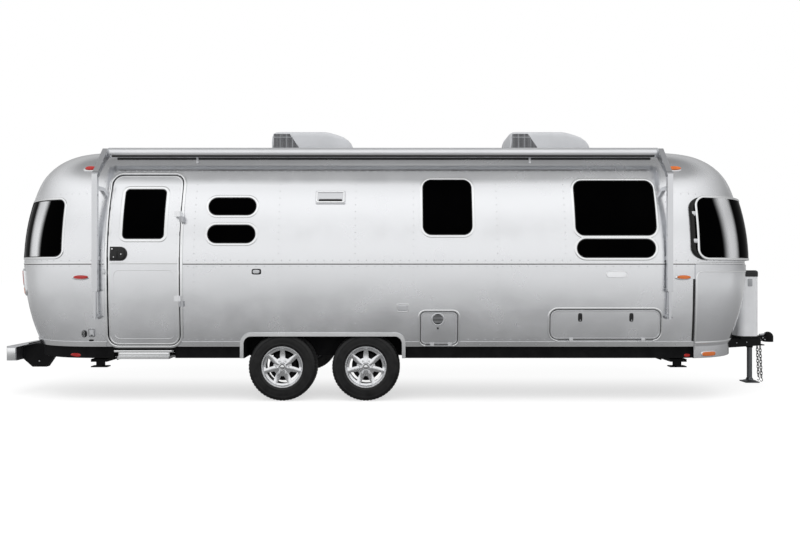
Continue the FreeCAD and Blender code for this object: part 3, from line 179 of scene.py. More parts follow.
def piece(name, mesh_data, look, body="caravan", angle=35):
    """Turns mesh data into a smooth-shaded object that rides on a body."""
    bmesh.ops.remove_doubles(mesh_data, verts=mesh_data.verts, dist=0.00002)
    bmesh.ops.recalc_face_normals(mesh_data, faces=mesh_data.faces)
    mesh = bpy.data.meshes.new(name)
    mesh_data.to_mesh(mesh)
    mesh_data.free()
    mesh.shade_smooth()
    mesh.set_sharp_from_angle(angle=math.radians(angle))
    mesh.materials.append(look)
    item = bpy.data.objects.new(name, mesh)
    bpy.context.scene.collection.objects.link(item)
    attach(item, body)
    return item


def skin_rings(data, rings, closed_path, closed_ring=True, caps=True):
    """Joins rings of vertices into a skin; the ends are capped on an open path."""
    made = [[data.verts.new(point) for point in ring] for ring in rings]
    count = len(made[0])
    last = len(made) if closed_path else len(made) - 1
    for index in range(last):
        first, second = made[index], made[(index + 1) % len(made)]
        for spot in range(count if closed_ring else count - 1):
            after = (spot + 1) % count
            data.faces.new((first[spot], first[after], second[after], second[spot]))
    if not closed_path and caps:
        data.faces.new(list(reversed(made[0])))
        data.faces.new(made[-1])
    return made


def sweep(data, path, profile, closed=True):
    """Sweeps a closed profile of (across, proud) points along surface stations."""
    rings = []
    count = len(path)
    for index, (point, normal) in enumerate(path):
        ahead = path[(index + 1) % count][0] if closed or index < count - 1 else point
        behind = path[index - 1][0] if closed or index > 0 else point
        tangent = (ahead - behind).normalized()
        across = normal.cross(tangent).normalized()
        rings.append([point + across * u + normal * h for u, h in profile])
    skin_rings(data, rings, closed)


def bead(width, proud, sunk=0.004):
    """A flat trim profile with rounded shoulders."""
    half = width * 0.5
    return ((-half, -sunk), (-half, proud * 0.45), (-half * 0.82, proud * 0.85),
            (-half * 0.55, proud), (half * 0.55, proud), (half * 0.82, proud * 0.85),
            (half, proud * 0.45), (half, -sunk))


def frame_of(direction):
    """Two unit vectors square to a direction."""
    aside = Vector((0, 0, 1)) if abs(direction.z) < 0.9 else Vector((1, 0, 0))
    first = direction.cross(aside).normalized()
    return first, direction.cross(first).normalized()


def dome(data, point, normal, radius, proud, sides=6):
    """A rivet head or screw head: a low closed dome."""
    first, second = frame_of(normal)
    rings = []
    for share, rise in ((1.0, -0.3), (1.0, 0.25), (0.62, 0.85)):
        rings.append([point + normal * proud * rise
                      + (first * math.cos(TAU * i / sides) + second * math.sin(TAU * i / sides))
                      * radius * share for i in range(sides)])
    made = skin_rings(data, rings, False, caps=False)
    tip = data.verts.new(point + normal * proud)
    for index in range(sides):
        data.faces.new((made[-1][index], made[-1][(index + 1) % sides], tip))
    data.faces.new(list(reversed(made[0])))


def lathe(data, origin, axis, profile, sides=32, closed=True):
    """Turns (along, radius) points about an axis through the origin given."""
    origin = Vector(origin)
    axis = Vector(axis).normalized()
    first, second = frame_of(axis)
    rings = []
    for along, radius in profile:
        rings.append([origin + axis * along
                      + (first * math.cos(TAU * i / sides) + second * math.sin(TAU * i / sides))
                      * radius for i in range(sides)])
    skin_rings(data, rings, closed, caps=not closed)


def tube(data, points, radius, sides=10, closed=False):
    """A round bar along points."""
    points = [Vector(point) for point in points]
    rings = []
    count = len(points)
    side = None
    for index, point in enumerate(points):
        ahead = points[(index + 1) % count] if closed or index < count - 1 else point
        behind = points[index - 1] if closed or index > 0 else point
        tangent = (ahead - behind).normalized()
        if side is None:
            side = frame_of(tangent)[0]
        side = (side - tangent * side.dot(tangent)).normalized()
        other = tangent.cross(side)
        rings.append([point + (side * math.cos(TAU * i / sides) + other * math.sin(TAU * i / sides))
                      * radius for i in range(sides)])
    skin_rings(data, rings, closed)


def slab(data, low, high, soft=0.004, segments=2, turn=None):
    """A box with rounded edges."""
    low, high = Vector(low), Vector(high)
    middle = (low + high) * 0.5
    size = high - low
    matrix = Matrix.Translation(middle)
    if turn is not None:
        matrix = matrix @ turn
    made = bmesh.ops.create_cube(data, size=1.0, matrix=matrix @ Matrix.Diagonal((*size, 1.0)))
    edges = {edge for vertex in made["verts"] for edge in vertex.link_edges}
    limit = min(size) * 0.45
    bmesh.ops.bevel(data, geom=list(edges), offset=min(soft, limit), segments=segments,
                    affect="EDGES", profile=0.5)


def extruded(data, outline_points, direction):
    """A prism from a closed outline of points."""
    base = [data.verts.new(point) for point in outline_points]
    far = [data.verts.new(point + direction) for point in outline_points]
    count = len(base)
    for index in range(count):
        after = (index + 1) % count
        data.faces.new((base[index], base[after], far[after], far[index]))
    data.faces.new(list(reversed(base)))
    data.faces.new(far)


# ---------------------------------------------------------------- materials

def look(name, color, metallic=0.0, roughness=0.5, specular=0.5, coat=0.0):
    """A principled material with its plain values set on the shader itself."""
    made = bpy.data.materials.new(name)
    made.use_nodes = True
    shader = made.node_tree.nodes["Principled BSDF"]
    shader.inputs["Base Color"].default_value = (*color, 1.0)
    shader.inputs["Metallic"].default_value = metallic
    shader.inputs["Roughness"].default_value = roughness
    shader.inputs["Specular IOR Level"].default_value = specular
    shader.inputs["Coat Weight"].default_value = coat
    shader.inputs["Coat Roughness"].default_value = 0.06
    return made


def ramp_node(tree, stops):
    """A colour ramp from (position, grey) stops."""
    node = tree.nodes.new("ShaderNodeValToRGB")
    elements = node.color_ramp.elements
    while len(elements) < len(stops):
        elements.new(0.5)
    for element, (position, grey) in zip(elements, stops):
        element.position = position
        element.color = (grey, grey, grey, 1.0)
    return node


def grain(made, scale, stretch=(1, 1, 1), detail=3.0):
    """Noise in the object's own metres, stretched along its axes."""
    nodes, links = made.node_tree.nodes, made.node_tree.links
    where = nodes.new("ShaderNodeTexCoord")
    mapping = nodes.new("ShaderNodeMapping")
    mapping.inputs["Scale"].default_value = stretch
    noise = nodes.new("ShaderNodeTexNoise")
    noise.inputs["Scale"].default_value = scale
    noise.inputs["Detail"].default_value = detail
    links.new(where.outputs["Object"], mapping.inputs["Vector"])
    links.new(mapping.outputs["Vector"], noise.inputs["Vector"])
    return noise.outputs["Fac"]


def spread(made, value, low, high, target):
    """Drives a shader input by noise, between two values."""
    nodes, links = made.node_tree.nodes, made.node_tree.links
    ramp = nodes.new("ShaderNodeMapRange")
    ramp.inputs["From Min"].default_value = 0.3
    ramp.inputs["From Max"].default_value = 0.7
    ramp.inputs["To Min"].default_value = low
    ramp.inputs["To Max"].default_value = high
    links.new(value, ramp.inputs["Value"])
    links.new(ramp.outputs["Result"], nodes["Principled BSDF"].inputs[target])


def tint(made, value, first, second, low=0.35, high=0.65):
    """Blends the base colour between two colours by noise."""
    nodes, links = made.node_tree.nodes, made.node_tree.links
    ramp = nodes.new("ShaderNodeValToRGB")
    ramp.color_ramp.elements[0].position = low
    ramp.color_ramp.elements[0].color = (*first, 1.0)
    ramp.color_ramp.elements[1].position = high
    ramp.color_ramp.elements[1].color = (*second, 1.0)
    links.new(value, ramp.inputs["Fac"])
    links.new(ramp.outputs["Color"], nodes["Principled BSDF"].inputs["Base Color"])


def relief(made, *layers):
    """Stacks bump layers of (height value, distance)."""
    nodes, links = made.node_tree.nodes, made.node_tree.links
    before = None
    for value, distance in layers:
        bump = nodes.new("ShaderNodeBump")
        bump.inputs["Strength"].default_value = 1.0
        bump.inputs["Distance"].default_value = distance
        links.new(value, bump.inputs["Height"])
        if before is not None:
            links.new(before, bump.inputs["Normal"])
        before = bump.outputs["Normal"]
    links.new(before, nodes["Principled BSDF"].inputs["Normal"])


def sheet_metal(name, color, roughness, wave, fine, rub=0.05):
    """Rolled aluminium sheet: gentle oil-canning, rolling grain and uneven polish."""
    made = look(name, color, metallic=1.0, roughness=roughness)
    broad = grain(made, 1.3, (0.8, 1.0, 1.5), 1.0)
    rolled = grain(made, 60.0, (0.12, 1.0, 1.0), 2.0)
    worn = grain(made, 3.0, (1.0, 1.0, 1.0), 4.0)
    spread(made, worn, roughness - rub, roughness + rub, "Roughness")
    tint(made, worn, tuple(c * 0.95 for c in color), color)
    relief(made, (broad, wave), (rolled, fine))
    return made


def satin_paint(name, color, roughness, dust, specular):
    """Sprayed paint with orange peel and a little road dust."""
    made = look(name, color, roughness=roughness, specular=specular)
    dirt = grain(made, 9.0, detail=5.0)
    tint(made, dirt, color, tuple(c + dust for c in color))
    spread(made, dirt, roughness - 0.06, roughness + 0.1, "Roughness")
    relief(made, (grain(made, 260.0), 0.00012))
    return made


def moulded(name, color, roughness=0.5, pit=0.00015):
    """Moulded plastic with a fine leather-like texture."""
    made = look(name, color, roughness=roughness, specular=0.4)
    cells = grain(made, 420.0, detail=2.0)
    tint(made, grain(made, 5.0), tuple(c * 0.93 for c in color), color)
    spread(made, cells, roughness - 0.05, roughness + 0.05, "Roughness")
    relief(made, (cells, pit))
    return made


def glass(name):
    """Tinted glass, almost black, with a faint ripple from tempering."""
    made = look(name, (0.0004, 0.0004, 0.0005), roughness=0.05, specular=0.004)
    tint(made, grain(made, 2.0), (0.0003, 0.0003, 0.0004), (0.0007, 0.0007, 0.0008))
    relief(made, (grain(made, 3.0, detail=1.0), 0.0004))
    return made


def glass_with_painted_highlight(name, stops):
    """Dark glass of the curved panes with a painted highlight: at one slant of view a band turns the
    base colour white and metallic.
    """
    made = look(name, (0.0004, 0.0004, 0.0005), roughness=0.12, specular=0.004)
    nodes, links = made.node_tree.nodes, made.node_tree.links
    # Painted highlight: the facing ratio picks the band where the glass turns white and metallic.
    slant = nodes.new("ShaderNodeLayerWeight")
    slant.inputs["Blend"].default_value = 0.5
    painted_highlight = ramp_node(made.node_tree, stops)
    painted_highlight.color_ramp.interpolation = "EASE"
    links.new(slant.outputs["Facing"], painted_highlight.inputs["Fac"])
    shade = nodes.new("ShaderNodeMix")
    shade.data_type = "RGBA"
    shade.inputs["A"].default_value = (0.0004, 0.0004, 0.0005, 1.0)
    shade.inputs["B"].default_value = (0.95, 0.96, 0.98, 1.0)
    links.new(painted_highlight.outputs["Color"], shade.inputs["Factor"])
    shader = nodes["Principled BSDF"]
    links.new(shade.outputs["Result"], shader.inputs["Base Color"])
    links.new(painted_highlight.outputs["Color"], shader.inputs["Metallic"])
    relief(made, (grain(made, 3.0, detail=1.0), 0.0004))
    return made


def lens(name, color):
    """Moulded lamp lens with fine prisms."""
    made = look(name, color, roughness=0.14, specular=0.5, coat=0.4)
    nodes, links = made.node_tree.nodes, made.node_tree.links
    where = nodes.new("ShaderNodeTexCoord")
    prisms = nodes.new("ShaderNodeTexWave")
    prisms.inputs["Scale"].default_value = 45.0
    links.new(where.outputs["Object"], prisms.inputs["Vector"])
    tint(made, prisms.outputs["Fac"], tuple(c * 0.7 for c in color), color, 0.2, 0.8)
    relief(made, (prisms.outputs["Fac"], 0.0006))
    return made


def rubber(name):
    """Tyre rubber: matt, slightly dusty, finely pitted."""
    made = look(name, (0.006, 0.006, 0.0065), roughness=0.40, specular=0.35)
    dust = grain(made, 14.0, detail=6.0)
    tint(made, dust, (0.004, 0.004, 0.0045), (0.010, 0.010, 0.0105))
    spread(made, dust, 0.30, 0.50, "Roughness")
    relief(made, (grain(made, 300.0), 0.0002))
    return made


def cast_alloy(name, color, roughness):
    """Machined and lacquered cast alloy."""
    made = look(name, color, metallic=1.0, roughness=roughness, coat=0.3)
    marks = grain(made, 90.0, (1.0, 1.0, 1.0), 3.0)
    tint(made, grain(made, 6.0), tuple(c * 0.9 for c in color), color)
    spread(made, marks, roughness - 0.04, roughness + 0.06, "Roughness")
    relief(made, (marks, 0.00008))
    return made


def awning_cloth(name):
    """Vinyl-coated awning cloth, rolled, with a fine weave."""
    made = look(name, (0.62, 0.63, 0.65), metallic=0.85, roughness=0.34, specular=0.4)
    weave = grain(made, 900.0, (1.0, 1.0, 1.0), 1.0)
    tint(made, grain(made, 2.2, (0.5, 1, 1), 4.0), (0.76, 0.77, 0.79), (0.82, 0.83, 0.85))
    spread(made, weave, 0.34, 0.44, "Roughness")
    relief(made, (weave, 0.0001), (grain(made, 4.0, (0.3, 3.0, 3.0)), 0.0015))
    return made


SKIN = sheet_metal("skin_sheet", (0.82, 0.83, 0.85), 0.24, 0.004, 0.000012)
CAP_SKIN = sheet_metal("cap_sheet", (0.80, 0.81, 0.83), 0.26, 0.003, 0.000012)
TRIM = sheet_metal("bright_trim", (0.86, 0.87, 0.88), 0.18, 0.0006, 0.00003, 0.03)
SATIN = sheet_metal("satin_trim", (0.70, 0.71, 0.73), 0.34, 0.0006, 0.00006)
GUARD = sheet_metal("guard_sheet", (0.74, 0.75, 0.77), 0.16, 0.002, 0.00003, 0.04)
ZINC = sheet_metal("zinc_plate", (0.50, 0.51, 0.53), 0.40, 0.0004, 0.00012, 0.08)
STEEL = sheet_metal("dark_steel", (0.16, 0.165, 0.175), 0.42, 0.0004, 0.00012, 0.08)
DARK_GLASS = glass("dark_glass")
# The stops place the painted highlight band on the curved end panes and on the window guard.
CURVED_GLASS = glass_with_painted_highlight("curved_glass", ((0.43, 0.0), (0.52, 1.0), (0.58, 1.0), (0.70, 0.0)))
GUARD_GLASS = glass_with_painted_highlight("guard_glass", ((0.32, 0.0), (0.43, 1.0), (0.47, 1.0), (0.575, 0.0)))
CHASSIS = satin_paint("chassis_paint", (0.0035, 0.0035, 0.004), 0.5, 0.004, 0.12)
UNDERCOAT = satin_paint("undercoat", (0.005, 0.005, 0.0055), 0.7, 0.005, 0.08)
WHITE_SHELL = moulded("white_shell", (0.56, 0.57, 0.59), 0.45)
BRIGHT_SHELL = moulded("bright_shell", (0.97, 0.98, 1.0), 0.35)
COVER_SHELL = moulded("cover_shell", (0.84, 0.85, 0.87), 0.35)
CHAIN_STEEL = sheet_metal("chain_steel", (0.05, 0.052, 0.056), 0.45, 0.0004, 0.00012, 0.08)
GREY_SHELL = moulded("grey_shell", (0.40, 0.41, 0.43), 0.5)
BLACK_SHELL = moulded("black_shell", (0.010, 0.010, 0.011), 0.45)
SEAL = moulded("black_seal", (0.012, 0.012, 0.012), 0.7, 0.0003)
RED_LENS = lens("red_lens", (0.55, 0.015, 0.012))
AMBER_LENS = lens("amber_lens", (0.85, 0.19, 0.02))
TYRE = rubber("tyre_rubber")
ALLOY = cast_alloy("wheel_alloy", (0.86, 0.87, 0.89), 0.24)
# The inner barrel's alloy is coloured near black as painted shade in the wheel's recess.
SHADED_BARREL_ALLOY = cast_alloy("wheel_pocket", (0.10, 0.10, 0.105), 0.45)
CLOTH = awning_cloth("awning_cloth")
FLOOR_SHEET = moulded("vinyl_floor", (0.42, 0.38, 0.33), 0.55)


def assign(nodes, made):
    """Gives CAD nodes one material in every slot."""
    for name in nodes.split():
        item = NODES[name]
        if not item.material_slots:
            item.data.materials.append(made)
        for slot in item.material_slots:
            slot.material = made


def dress_nodes():
    """Materials for the CAD nodes that stay visible."""
    assign("wall_upper_curb wall_lower_curb wall_upper_street wall_lower_street roof_panel", SKIN)
    assign("rear_cap_upper rear_cap_lower front_cap_upper front_cap_lower", CAP_SKIN)
    assign("entry_door storage_hatch heater_door", SKIN)
    assign("windows_curb windows_street entry_door_window", DARK_GLASS)
    assign("windows_ends", CURVED_GLASS)
    assign("front_window_guard", GUARD_GLASS)
    assign("cabin_floor", FLOOR_SHEET)
    assign("wheel_tubs belly_pan", UNDERCOAT)
    assign("axles drawbar hitch_coupler bumper_brackets stabiliser_channels", CHASSIS)
    assign("stabiliser_rear_curb stabiliser_rear_street", CHASSIS)
    assign("stabiliser_front_curb stabiliser_front_street jack_tube", CHASSIS)
    assign("lower_trim entry_step", TRIM)
    assign("rear_bumper awning_arms vents", SATIN)
    assign("stone_guards", GUARD)
    assign("gas_cover", COVER_SHELL)
    assign("gas_cover_lid entry_door_handle", BLACK_SHELL)
    assign("marker_lamps", RED_LENS)
    assign("air_conditioner_rear air_conditioner_front", WHITE_SHELL)
    assign("awning_roller", CLOTH)
    assign("jack_leg safety_chains", STEEL)
    assign("hinges", ZINC)
    for end in ("rear", "front"):
        for side, _ in SIDES:
            assign("tyre_%s_%s" % (end, side), TYRE)
            assign("wheel_%s_%s" % (end, side), ALLOY)


dress_nodes()

# ---------------------------------------------------------------- windows and their trims

WINDOW_TRIM = 0.028
STACK_LOW = ((-2.163, -1.655), (1.679, 1.871), 0.095)
STACK_HIGH = ((-2.163, -1.655), (1.978, 2.166), 0.093)
CENTRE = ((0.115, 0.639), (1.767, 2.367), 0.092)
LARGE = ((1.730, 2.587), (1.760, 2.358), 0.092)
LONG = ((1.740, 2.570), (1.525, 1.722), 0.098)
STREET_REAR = ((-2.900, -2.360), (1.767, 2.367), 0.092)
DOOR_PANE = ((-3.060, -2.622), (1.725, 2.259), 0.044)
CURB_WINDOWS = (STACK_LOW, STACK_HIGH, CENTRE, LARGE, LONG)
STREET_WINDOWS = (STREET_REAR, STACK_HIGH, CENTRE, LARGE, LONG)


def grown(x, z, corner, grow):
    """A rounded rectangle made larger all round."""
    return (x[0] - grow, x[1] + grow), (z[0] - grow, z[1] + grow), corner + grow


def ring(data, place, box, grow, width, proud, sunk=0.004):
    """A closed trim around a rounded rectangle of the surface."""
    path = stations(place, rounded(*grown(*box, grow)))
    sweep(data, path, bead(width, proud, sunk))


def window_trims():
    """Bright frames and black seals around the side windows."""
    for side, windows in (("curb", CURB_WINDOWS), ("street", STREET_WINDOWS)):
        place = side_map(CURB if side == "curb" else STREET)
        frames = bmesh.new()
        seals = bmesh.new()
        for box in windows:
            ring(frames, place, box, WINDOW_TRIM * 0.5 + 0.002, WINDOW_TRIM, 0.005)
            ring(seals, place, box, -0.002, 0.008, 0.0035, 0.008)
        piece("window_frames_" + side, frames, TRIM)
        piece("window_seals_" + side, seals, SEAL)


def end_window_boxes(end):
    """Corner and middle windows of one end: name, surface map, box."""
    near_x = 3.060 if end == "front" else -3.715
    tall = (1.535, 2.150)
    boxes = []
    for name, side in SIDES:
        place = corner_map(end, side, near_x, 0.760, 1.0)
        probe = [place(i / 12.0, 1.84) for i in range(13)]
        width = sum((probe[i + 1] - probe[i]).length for i in range(12))
        boxes.append((name, corner_map(end, side, near_x, 0.760, width), ((0.0, width), tall, 0.07)))
    boxes.append(("middle", end_map(end), ((-0.660, 0.660), tall, 0.07)))
    return boxes


def end_window_trims():
    """Frames around the wrap-around windows of both ends."""
    for end in ("rear", "front"):
        frames = bmesh.new()
        seals = bmesh.new()
        for name, place, box in end_window_boxes(end):
            if end == "front" and name != "middle":
                continue
            ring(frames, place, box, 0.013, 0.024, 0.006)
            ring(seals, place, box, -0.002, 0.008, 0.0035, 0.008)
        piece("end_window_frames_" + end, frames, TRIM)
        piece("end_window_seals_" + end, seals, SEAL)


def door_window_trim():
    """Frame and seal of the door's window."""
    place = side_map(CURB)
    data = bmesh.new()
    ring(data, place, DOOR_PANE, 0.019, 0.034, 0.006)
    piece("door_window_frame", data, TRIM, "entry_door")
    data = bmesh.new()
    ring(data, place, DOOR_PANE, -0.002, 0.008, 0.0035, 0.008)
    piece("door_window_seal", data, SEAL, "entry_door")


window_trims()
end_window_trims()
door_window_trim()


# ---------------------------------------------------------------- small shapes on the skin

def pad_levels(proud, sunk):
    """Heights of a low rounded pad, from its foot to its crown."""
    return ((1.0, -sunk), (1.0, proud * 0.35), (0.95, proud * 0.75), (0.86, proud * 0.95),
            (0.6, proud))


def button(data, place, x, z, proud, squareness=4.0, steps=28, sunk=0.004, start=0.0):
    """A low pad with rounded edges over an oval or near-rectangular patch of the surface."""
    middle = (0.5 * (x[0] + x[1]), 0.5 * (z[0] + z[1]))
    half = (0.5 * (x[1] - x[0]), 0.5 * (z[1] - z[0]))
    rings = []
    for share, rise in pad_levels(proud, sunk):
        ring_points = []
        for index in range(steps):
            angle = TAU * index / steps
            c, s = math.cos(angle), math.sin(angle)
            across = math.copysign(abs(c) ** (2.0 / squareness), c)
            up = math.copysign(abs(s) ** (2.0 / squareness), s)
            point, normal = station(place, middle[0] + half[0] * share * across,
                                    middle[1] + half[1] * share * up)
            ring_points.append(point + normal * (start + rise))
        rings.append(ring_points)
    skin_rings(data, rings, False)


def rivets(data, place, path, radius=0.0060, proud=0.0024, sides=8):
    """Rivet heads along surface coordinates."""
    for a, b in path:
        point, normal = station(place, a, b)
        dome(data, point, normal, radius, proud, sides)


def open_ring(data, place, box, grow, width, proud):
    """A trim around the top and sides of a rounded rectangle, open along the bottom."""
    straight = 6
    path = rounded(*grown(*box, grow), straight=straight)[:1 - straight]
    sweep(data, stations(place, path), bead(width, proud), closed=False)


def wrap_map(end, near_x, width):
    """Maps (distance from the curb edge, z) around a whole end, curb side to street side."""
    way = 1 if end == "front" else -1

    def place(along, z):
        first = math.asin(min(abs(near_x - SEAM[end]) / reach(z, end), 1.0) ** (POWER / 2))
        turn = first + (math.pi - 2.0 * first) * along / width
        x = SEAM[end] + way * reach(z, end) * max(math.sin(turn), 0.0) ** (2 / POWER)
        c = math.cos(turn)
        y = -half_width(z) * math.copysign(abs(c) ** (2 / POWER), c)
        return Vector((x, y, z))
    return place


def shifted(place, out):
    """The same surface map moved outward."""
    def moved(a, b):
        point, normal = station(place, a, b)
        return point + normal * out
    return moved


CURB_SKIN = side_map(CURB)
STREET_SKIN = side_map(STREET)
SKINS = {"curb": CURB_SKIN, "street": STREET_SKIN}

# ---------------------------------------------------------------- belt trim, seams and rivets

DOOR = ((-3.206, -2.455), (0.600, 2.417), 0.100)
HATCH = ((1.462, 2.624), (0.664, 0.972), 0.076)
HEATER = ((0.092, 0.479), (0.610, 0.948), 0.048)
WRAP = {"rear": 3.6, "front": 3.6}


def belt():
    """The half-round trim that runs around the body at its widest."""
    door_gap = (DOOR[0][0] - 0.045, DOOR[0][1] + 0.040)
    data = bmesh.new()
    runs = [
        (CURB_SKIN, line((door_gap[1], BELT), (SEAM["front"], BELT), 40)),
        (CURB_SKIN, line((SEAM["rear"], BELT), (door_gap[0], BELT), 2)),
        (STREET_SKIN, line((SEAM["rear"], BELT), (SEAM["front"], BELT), 40)),
    ]
    for end in ("rear", "front"):
        place = wrap_map(end, SEAM[end], WRAP[end])
        runs.append((place, line((0.004, BELT), (WRAP[end] - 0.004, BELT), 72)))
    for place, path in runs:
        sweep(data, stations(place, path), bead(0.018, 0.004), closed=False)
    piece("belt_trim", data, TRIM)
    # A thin black strip under the belt trim: painted shadow of the trim.
    data = bmesh.new()
    for place, path in runs:
        low = [(a, b - 0.0125) for a, b in path]
        sweep(data, stations(place, low), bead(0.006, 0.0016), closed=False)
    piece("belt_shadow_line", data, SEAL)
    data = bmesh.new()
    path = line((DOOR[0][0] + 0.02, BELT), (DOOR[0][1] - 0.02, BELT), 8)
    sweep(data, stations(CURB_SKIN, path), bead(0.018, 0.004), closed=False)
    piece("belt_trim_door", data, TRIM, "entry_door")


def lap(data, place, path):
    """A thin overlapped sheet edge."""
    sweep(data, stations(place, path), bead(0.007, 0.0010), closed=False)


def clear_of(boxes, x, z, room):
    """Whether a spot keeps clear of every window or door."""
    return all(not (bx[0] - room < x < bx[1] + room and bz[0] - room < z < bz[1] + room)
               for bx, bz, _ in boxes)


def spots(a, b, pitch):
    """Surface coordinates from a to b at about one pitch."""
    length = math.hypot(b[0] - a[0], b[1] - a[1])
    return line(a, b, max(1, round(length / pitch)))


def side_rivets():
    """Vertical rivet rows at the ribs and a double row above and below the belt."""
    arch = ((-1.86, -0.02), (0.4, 0.76), 0.1)
    for side, windows in (("curb", CURB_WINDOWS + (DOOR, HATCH, HEATER)),
                          ("street", STREET_WINDOWS)):
        place = SKINS[side]
        heads = bmesh.new()
        edges = bmesh.new()
        boxes = windows + (arch, ((-1.06, -0.68), (2.08, 2.26), 0.02))
        for x in (-2.300, -1.410, -0.600, 0.015, 0.900, 1.620, 2.660):
            row = [p for p in spots((x, 0.68), (x, 2.46), 0.075) if clear_of(boxes, *p, 0.045)]
            rivets(heads, place, [p for p in row if abs(p[1] - BELT) > 0.03])
        for z in (BELT + 0.032, BELT - 0.032, 0.660, 2.470):
            row = spots((-3.26, z), (2.66, z), 0.090)
            rivets(heads, place, [p for p in row if clear_of(boxes, *p, 0.045)])
        for x in (-1.410, 0.900):
            for z0, z1 in ((0.78 if x < 0 else 0.64, BELT - 0.02), (BELT + 0.02, 2.30)):
                lap(edges, place, line((x + 0.02, z0), (x + 0.02, z1), 10))
        piece("rivets_" + side, heads, SKIN, angle=70)
        piece("sheet_laps_" + side, edges, SKIN)


def end_seams():
    """Segment seams of the rounded ends with their rivets."""
    for end in ("rear", "front"):
        place = wrap_map(end, SEAM[end], WRAP[end])
        width = WRAP[end]
        heads = bmesh.new()
        edges = bmesh.new()
        for z in (2.226,):
            lap(edges, place, line((0.02, z), (width - 0.02, z), 60))
            rivets(heads, place, spots((0.05, z - 0.016), (width - 0.05, z - 0.016), 0.075))
        for z in (BELT + 0.030, BELT - 0.030):
            rivets(heads, place, spots((0.05, z), (width - 0.05, z), 0.085))
        for share in (0.26, 0.5, 0.74):
            lap(edges, place, line((width * share, 2.24), (width * share, 2.62), 12))
            row = spots((width * share + 0.016, 2.26), (width * share + 0.016, 2.60), 0.07)
            rivets(heads, place, row)
            if end == "rear":
                lap(edges, place, line((width * share, 0.66), (width * share, BELT - 0.02), 16))
        for side in SKINS:
            x = SEAM[end] + (0.03 if end == "front" else -0.03)
            row = spots((x, 0.68), (x, 2.5), 0.075)
            rivets(heads, SKINS[side], [p for p in row if abs(p[1] - BELT) > 0.03])
        piece("end_rivets_" + end, heads, CAP_SKIN, angle=70)
        piece("end_seams_" + end, edges, CAP_SKIN)


belt()
side_rivets()
end_seams()

# ---------------------------------------------------------------- door, hatch and heater door


def screw_heads(data, place, box, grow, count):
    """Small screws spaced along a trim."""
    path = rounded(*grown(*box, grow), straight=10)
    step = max(1, len(path) // count)
    rivets(data, place, path[::step], 0.0032, 0.0012)


def door_trims():
    """The door's outer frame with screws, its edge bead, seal, kick-plate pressing and rivets."""
    opening = (DOOR[0], (0.606, DOOR[1][1]), DOOR[2])
    data = bmesh.new()
    ring(data, CURB_SKIN, opening, 0.024, 0.030, 0.010)
    piece("door_frame", data, TRIM)
    data = bmesh.new()
    screw_heads(data, shifted(CURB_SKIN, 0.010), opening, 0.024, 30)
    piece("door_frame_screws", data, ZINC, angle=70)
    data = bmesh.new()
    ring(data, CURB_SKIN, DOOR, -0.012, 0.014, 0.004)
    piece("door_edge_bead", data, TRIM, "entry_door")
    data = bmesh.new()
    ring(data, CURB_SKIN, DOOR, -0.0015, 0.003, 0.001, 0.010)
    piece("door_weather_seal", data, SEAL, "entry_door")
    data = bmesh.new()
    ring(data, CURB_SKIN, ((-3.150, -2.512), (0.665, 1.395), 0.06), 0.0, 0.010, 0.0018)
    piece("door_pressing", data, SKIN, "entry_door")
    data = bmesh.new()
    row = spots((-3.175, 1.505), (-3.175, 2.36), 0.1) + spots((-2.49, 0.70), (-2.49, 2.36), 0.1)
    row += spots((-3.12, 2.385), (-2.55, 2.385), 0.1)
    rivets(data, CURB_SKIN, row, 0.004, 0.0014)
    piece("door_rivets", data, SKIN, "entry_door", 70)


def handle_details():
    """Paddle lever, recess rim and two lock barrels on the door handle."""
    face = shifted(CURB_SKIN, 0.022)
    data = bmesh.new()
    outline = [(-3.179, 1.492), (-3.179, 1.640)]
    outline += [(-3.072 + 0.066 * math.sin(math.radians(15 * i)),
                 1.566 + 0.074 * math.cos(math.radians(15 * i))) for i in range(13)]
    rings = []
    for grow, out in ((1.0, -0.004), (1.0, 0.016), (0.975, 0.0205), (0.93, 0.022)):
        ring_points = []
        for x, z in outline:
            point, normal = station(CURB_SKIN, -3.092 + (x + 3.092) * grow,
                                    1.566 + (z - 1.566) * grow)
            ring_points.append(point + normal * out)
        rings.append(ring_points)
    skin_rings(data, rings, False)
    item = piece("handle_plate", data, BLACK_SHELL, "entry_door", 50)
    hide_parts("entry_door_handle")
    data = bmesh.new()
    button(data, face, (-3.165, -3.100), (1.510, 1.600), 0.006, 5.0)
    button(data, face, (-3.088, -3.022), (1.506, 1.626), 0.009, 3.0)
    piece("handle_paddle", data, BLACK_SHELL, "entry_door")
    data = bmesh.new()
    for x, z, radius in ((-3.150, 1.614, 0.009), (-3.055, 1.560, 0.007), (-3.133, 1.530, 0.006)):
        button(data, face, (x - radius, x + radius), (z - radius, z + radius), 0.012, 2.0, 16)
    piece("handle_locks", data, TRIM, "entry_door")
    data = bmesh.new()
    button(data, CURB_SKIN, (-3.262, -3.226), (1.350, 1.405), 0.012, 3.0, start=0.008)
    piece("door_catch", data, SATIN)


def hatch_trims():
    """Frames, beads, latches and locks of the two service doors."""
    for name, box in (("storage_hatch", HATCH), ("heater_door", HEATER)):
        data = bmesh.new()
        open_ring(data, CURB_SKIN, box, 0.019, 0.022, 0.007)
        piece(name + "_frame", data, TRIM)
        data = bmesh.new()
        ring(data, CURB_SKIN, box, -0.008, 0.010, 0.003)
        piece(name + "_bead", data, SATIN, name)
    data = bmesh.new()
    for x in ((1.754, 1.798), (2.296, 2.338)):
        button(data, CURB_SKIN, x, (0.850, 0.940), 0.010, 4.0)
    piece("hatch_latches", data, BLACK_SHELL, "storage_hatch")
    data = bmesh.new()
    for x in (1.776, 2.317):
        button(data, shifted(CURB_SKIN, 0.010), (x - 0.007, x + 0.007), (0.858, 0.872), 0.002,
               2.0, 12)
    piece("hatch_locks", data, ZINC, "storage_hatch")


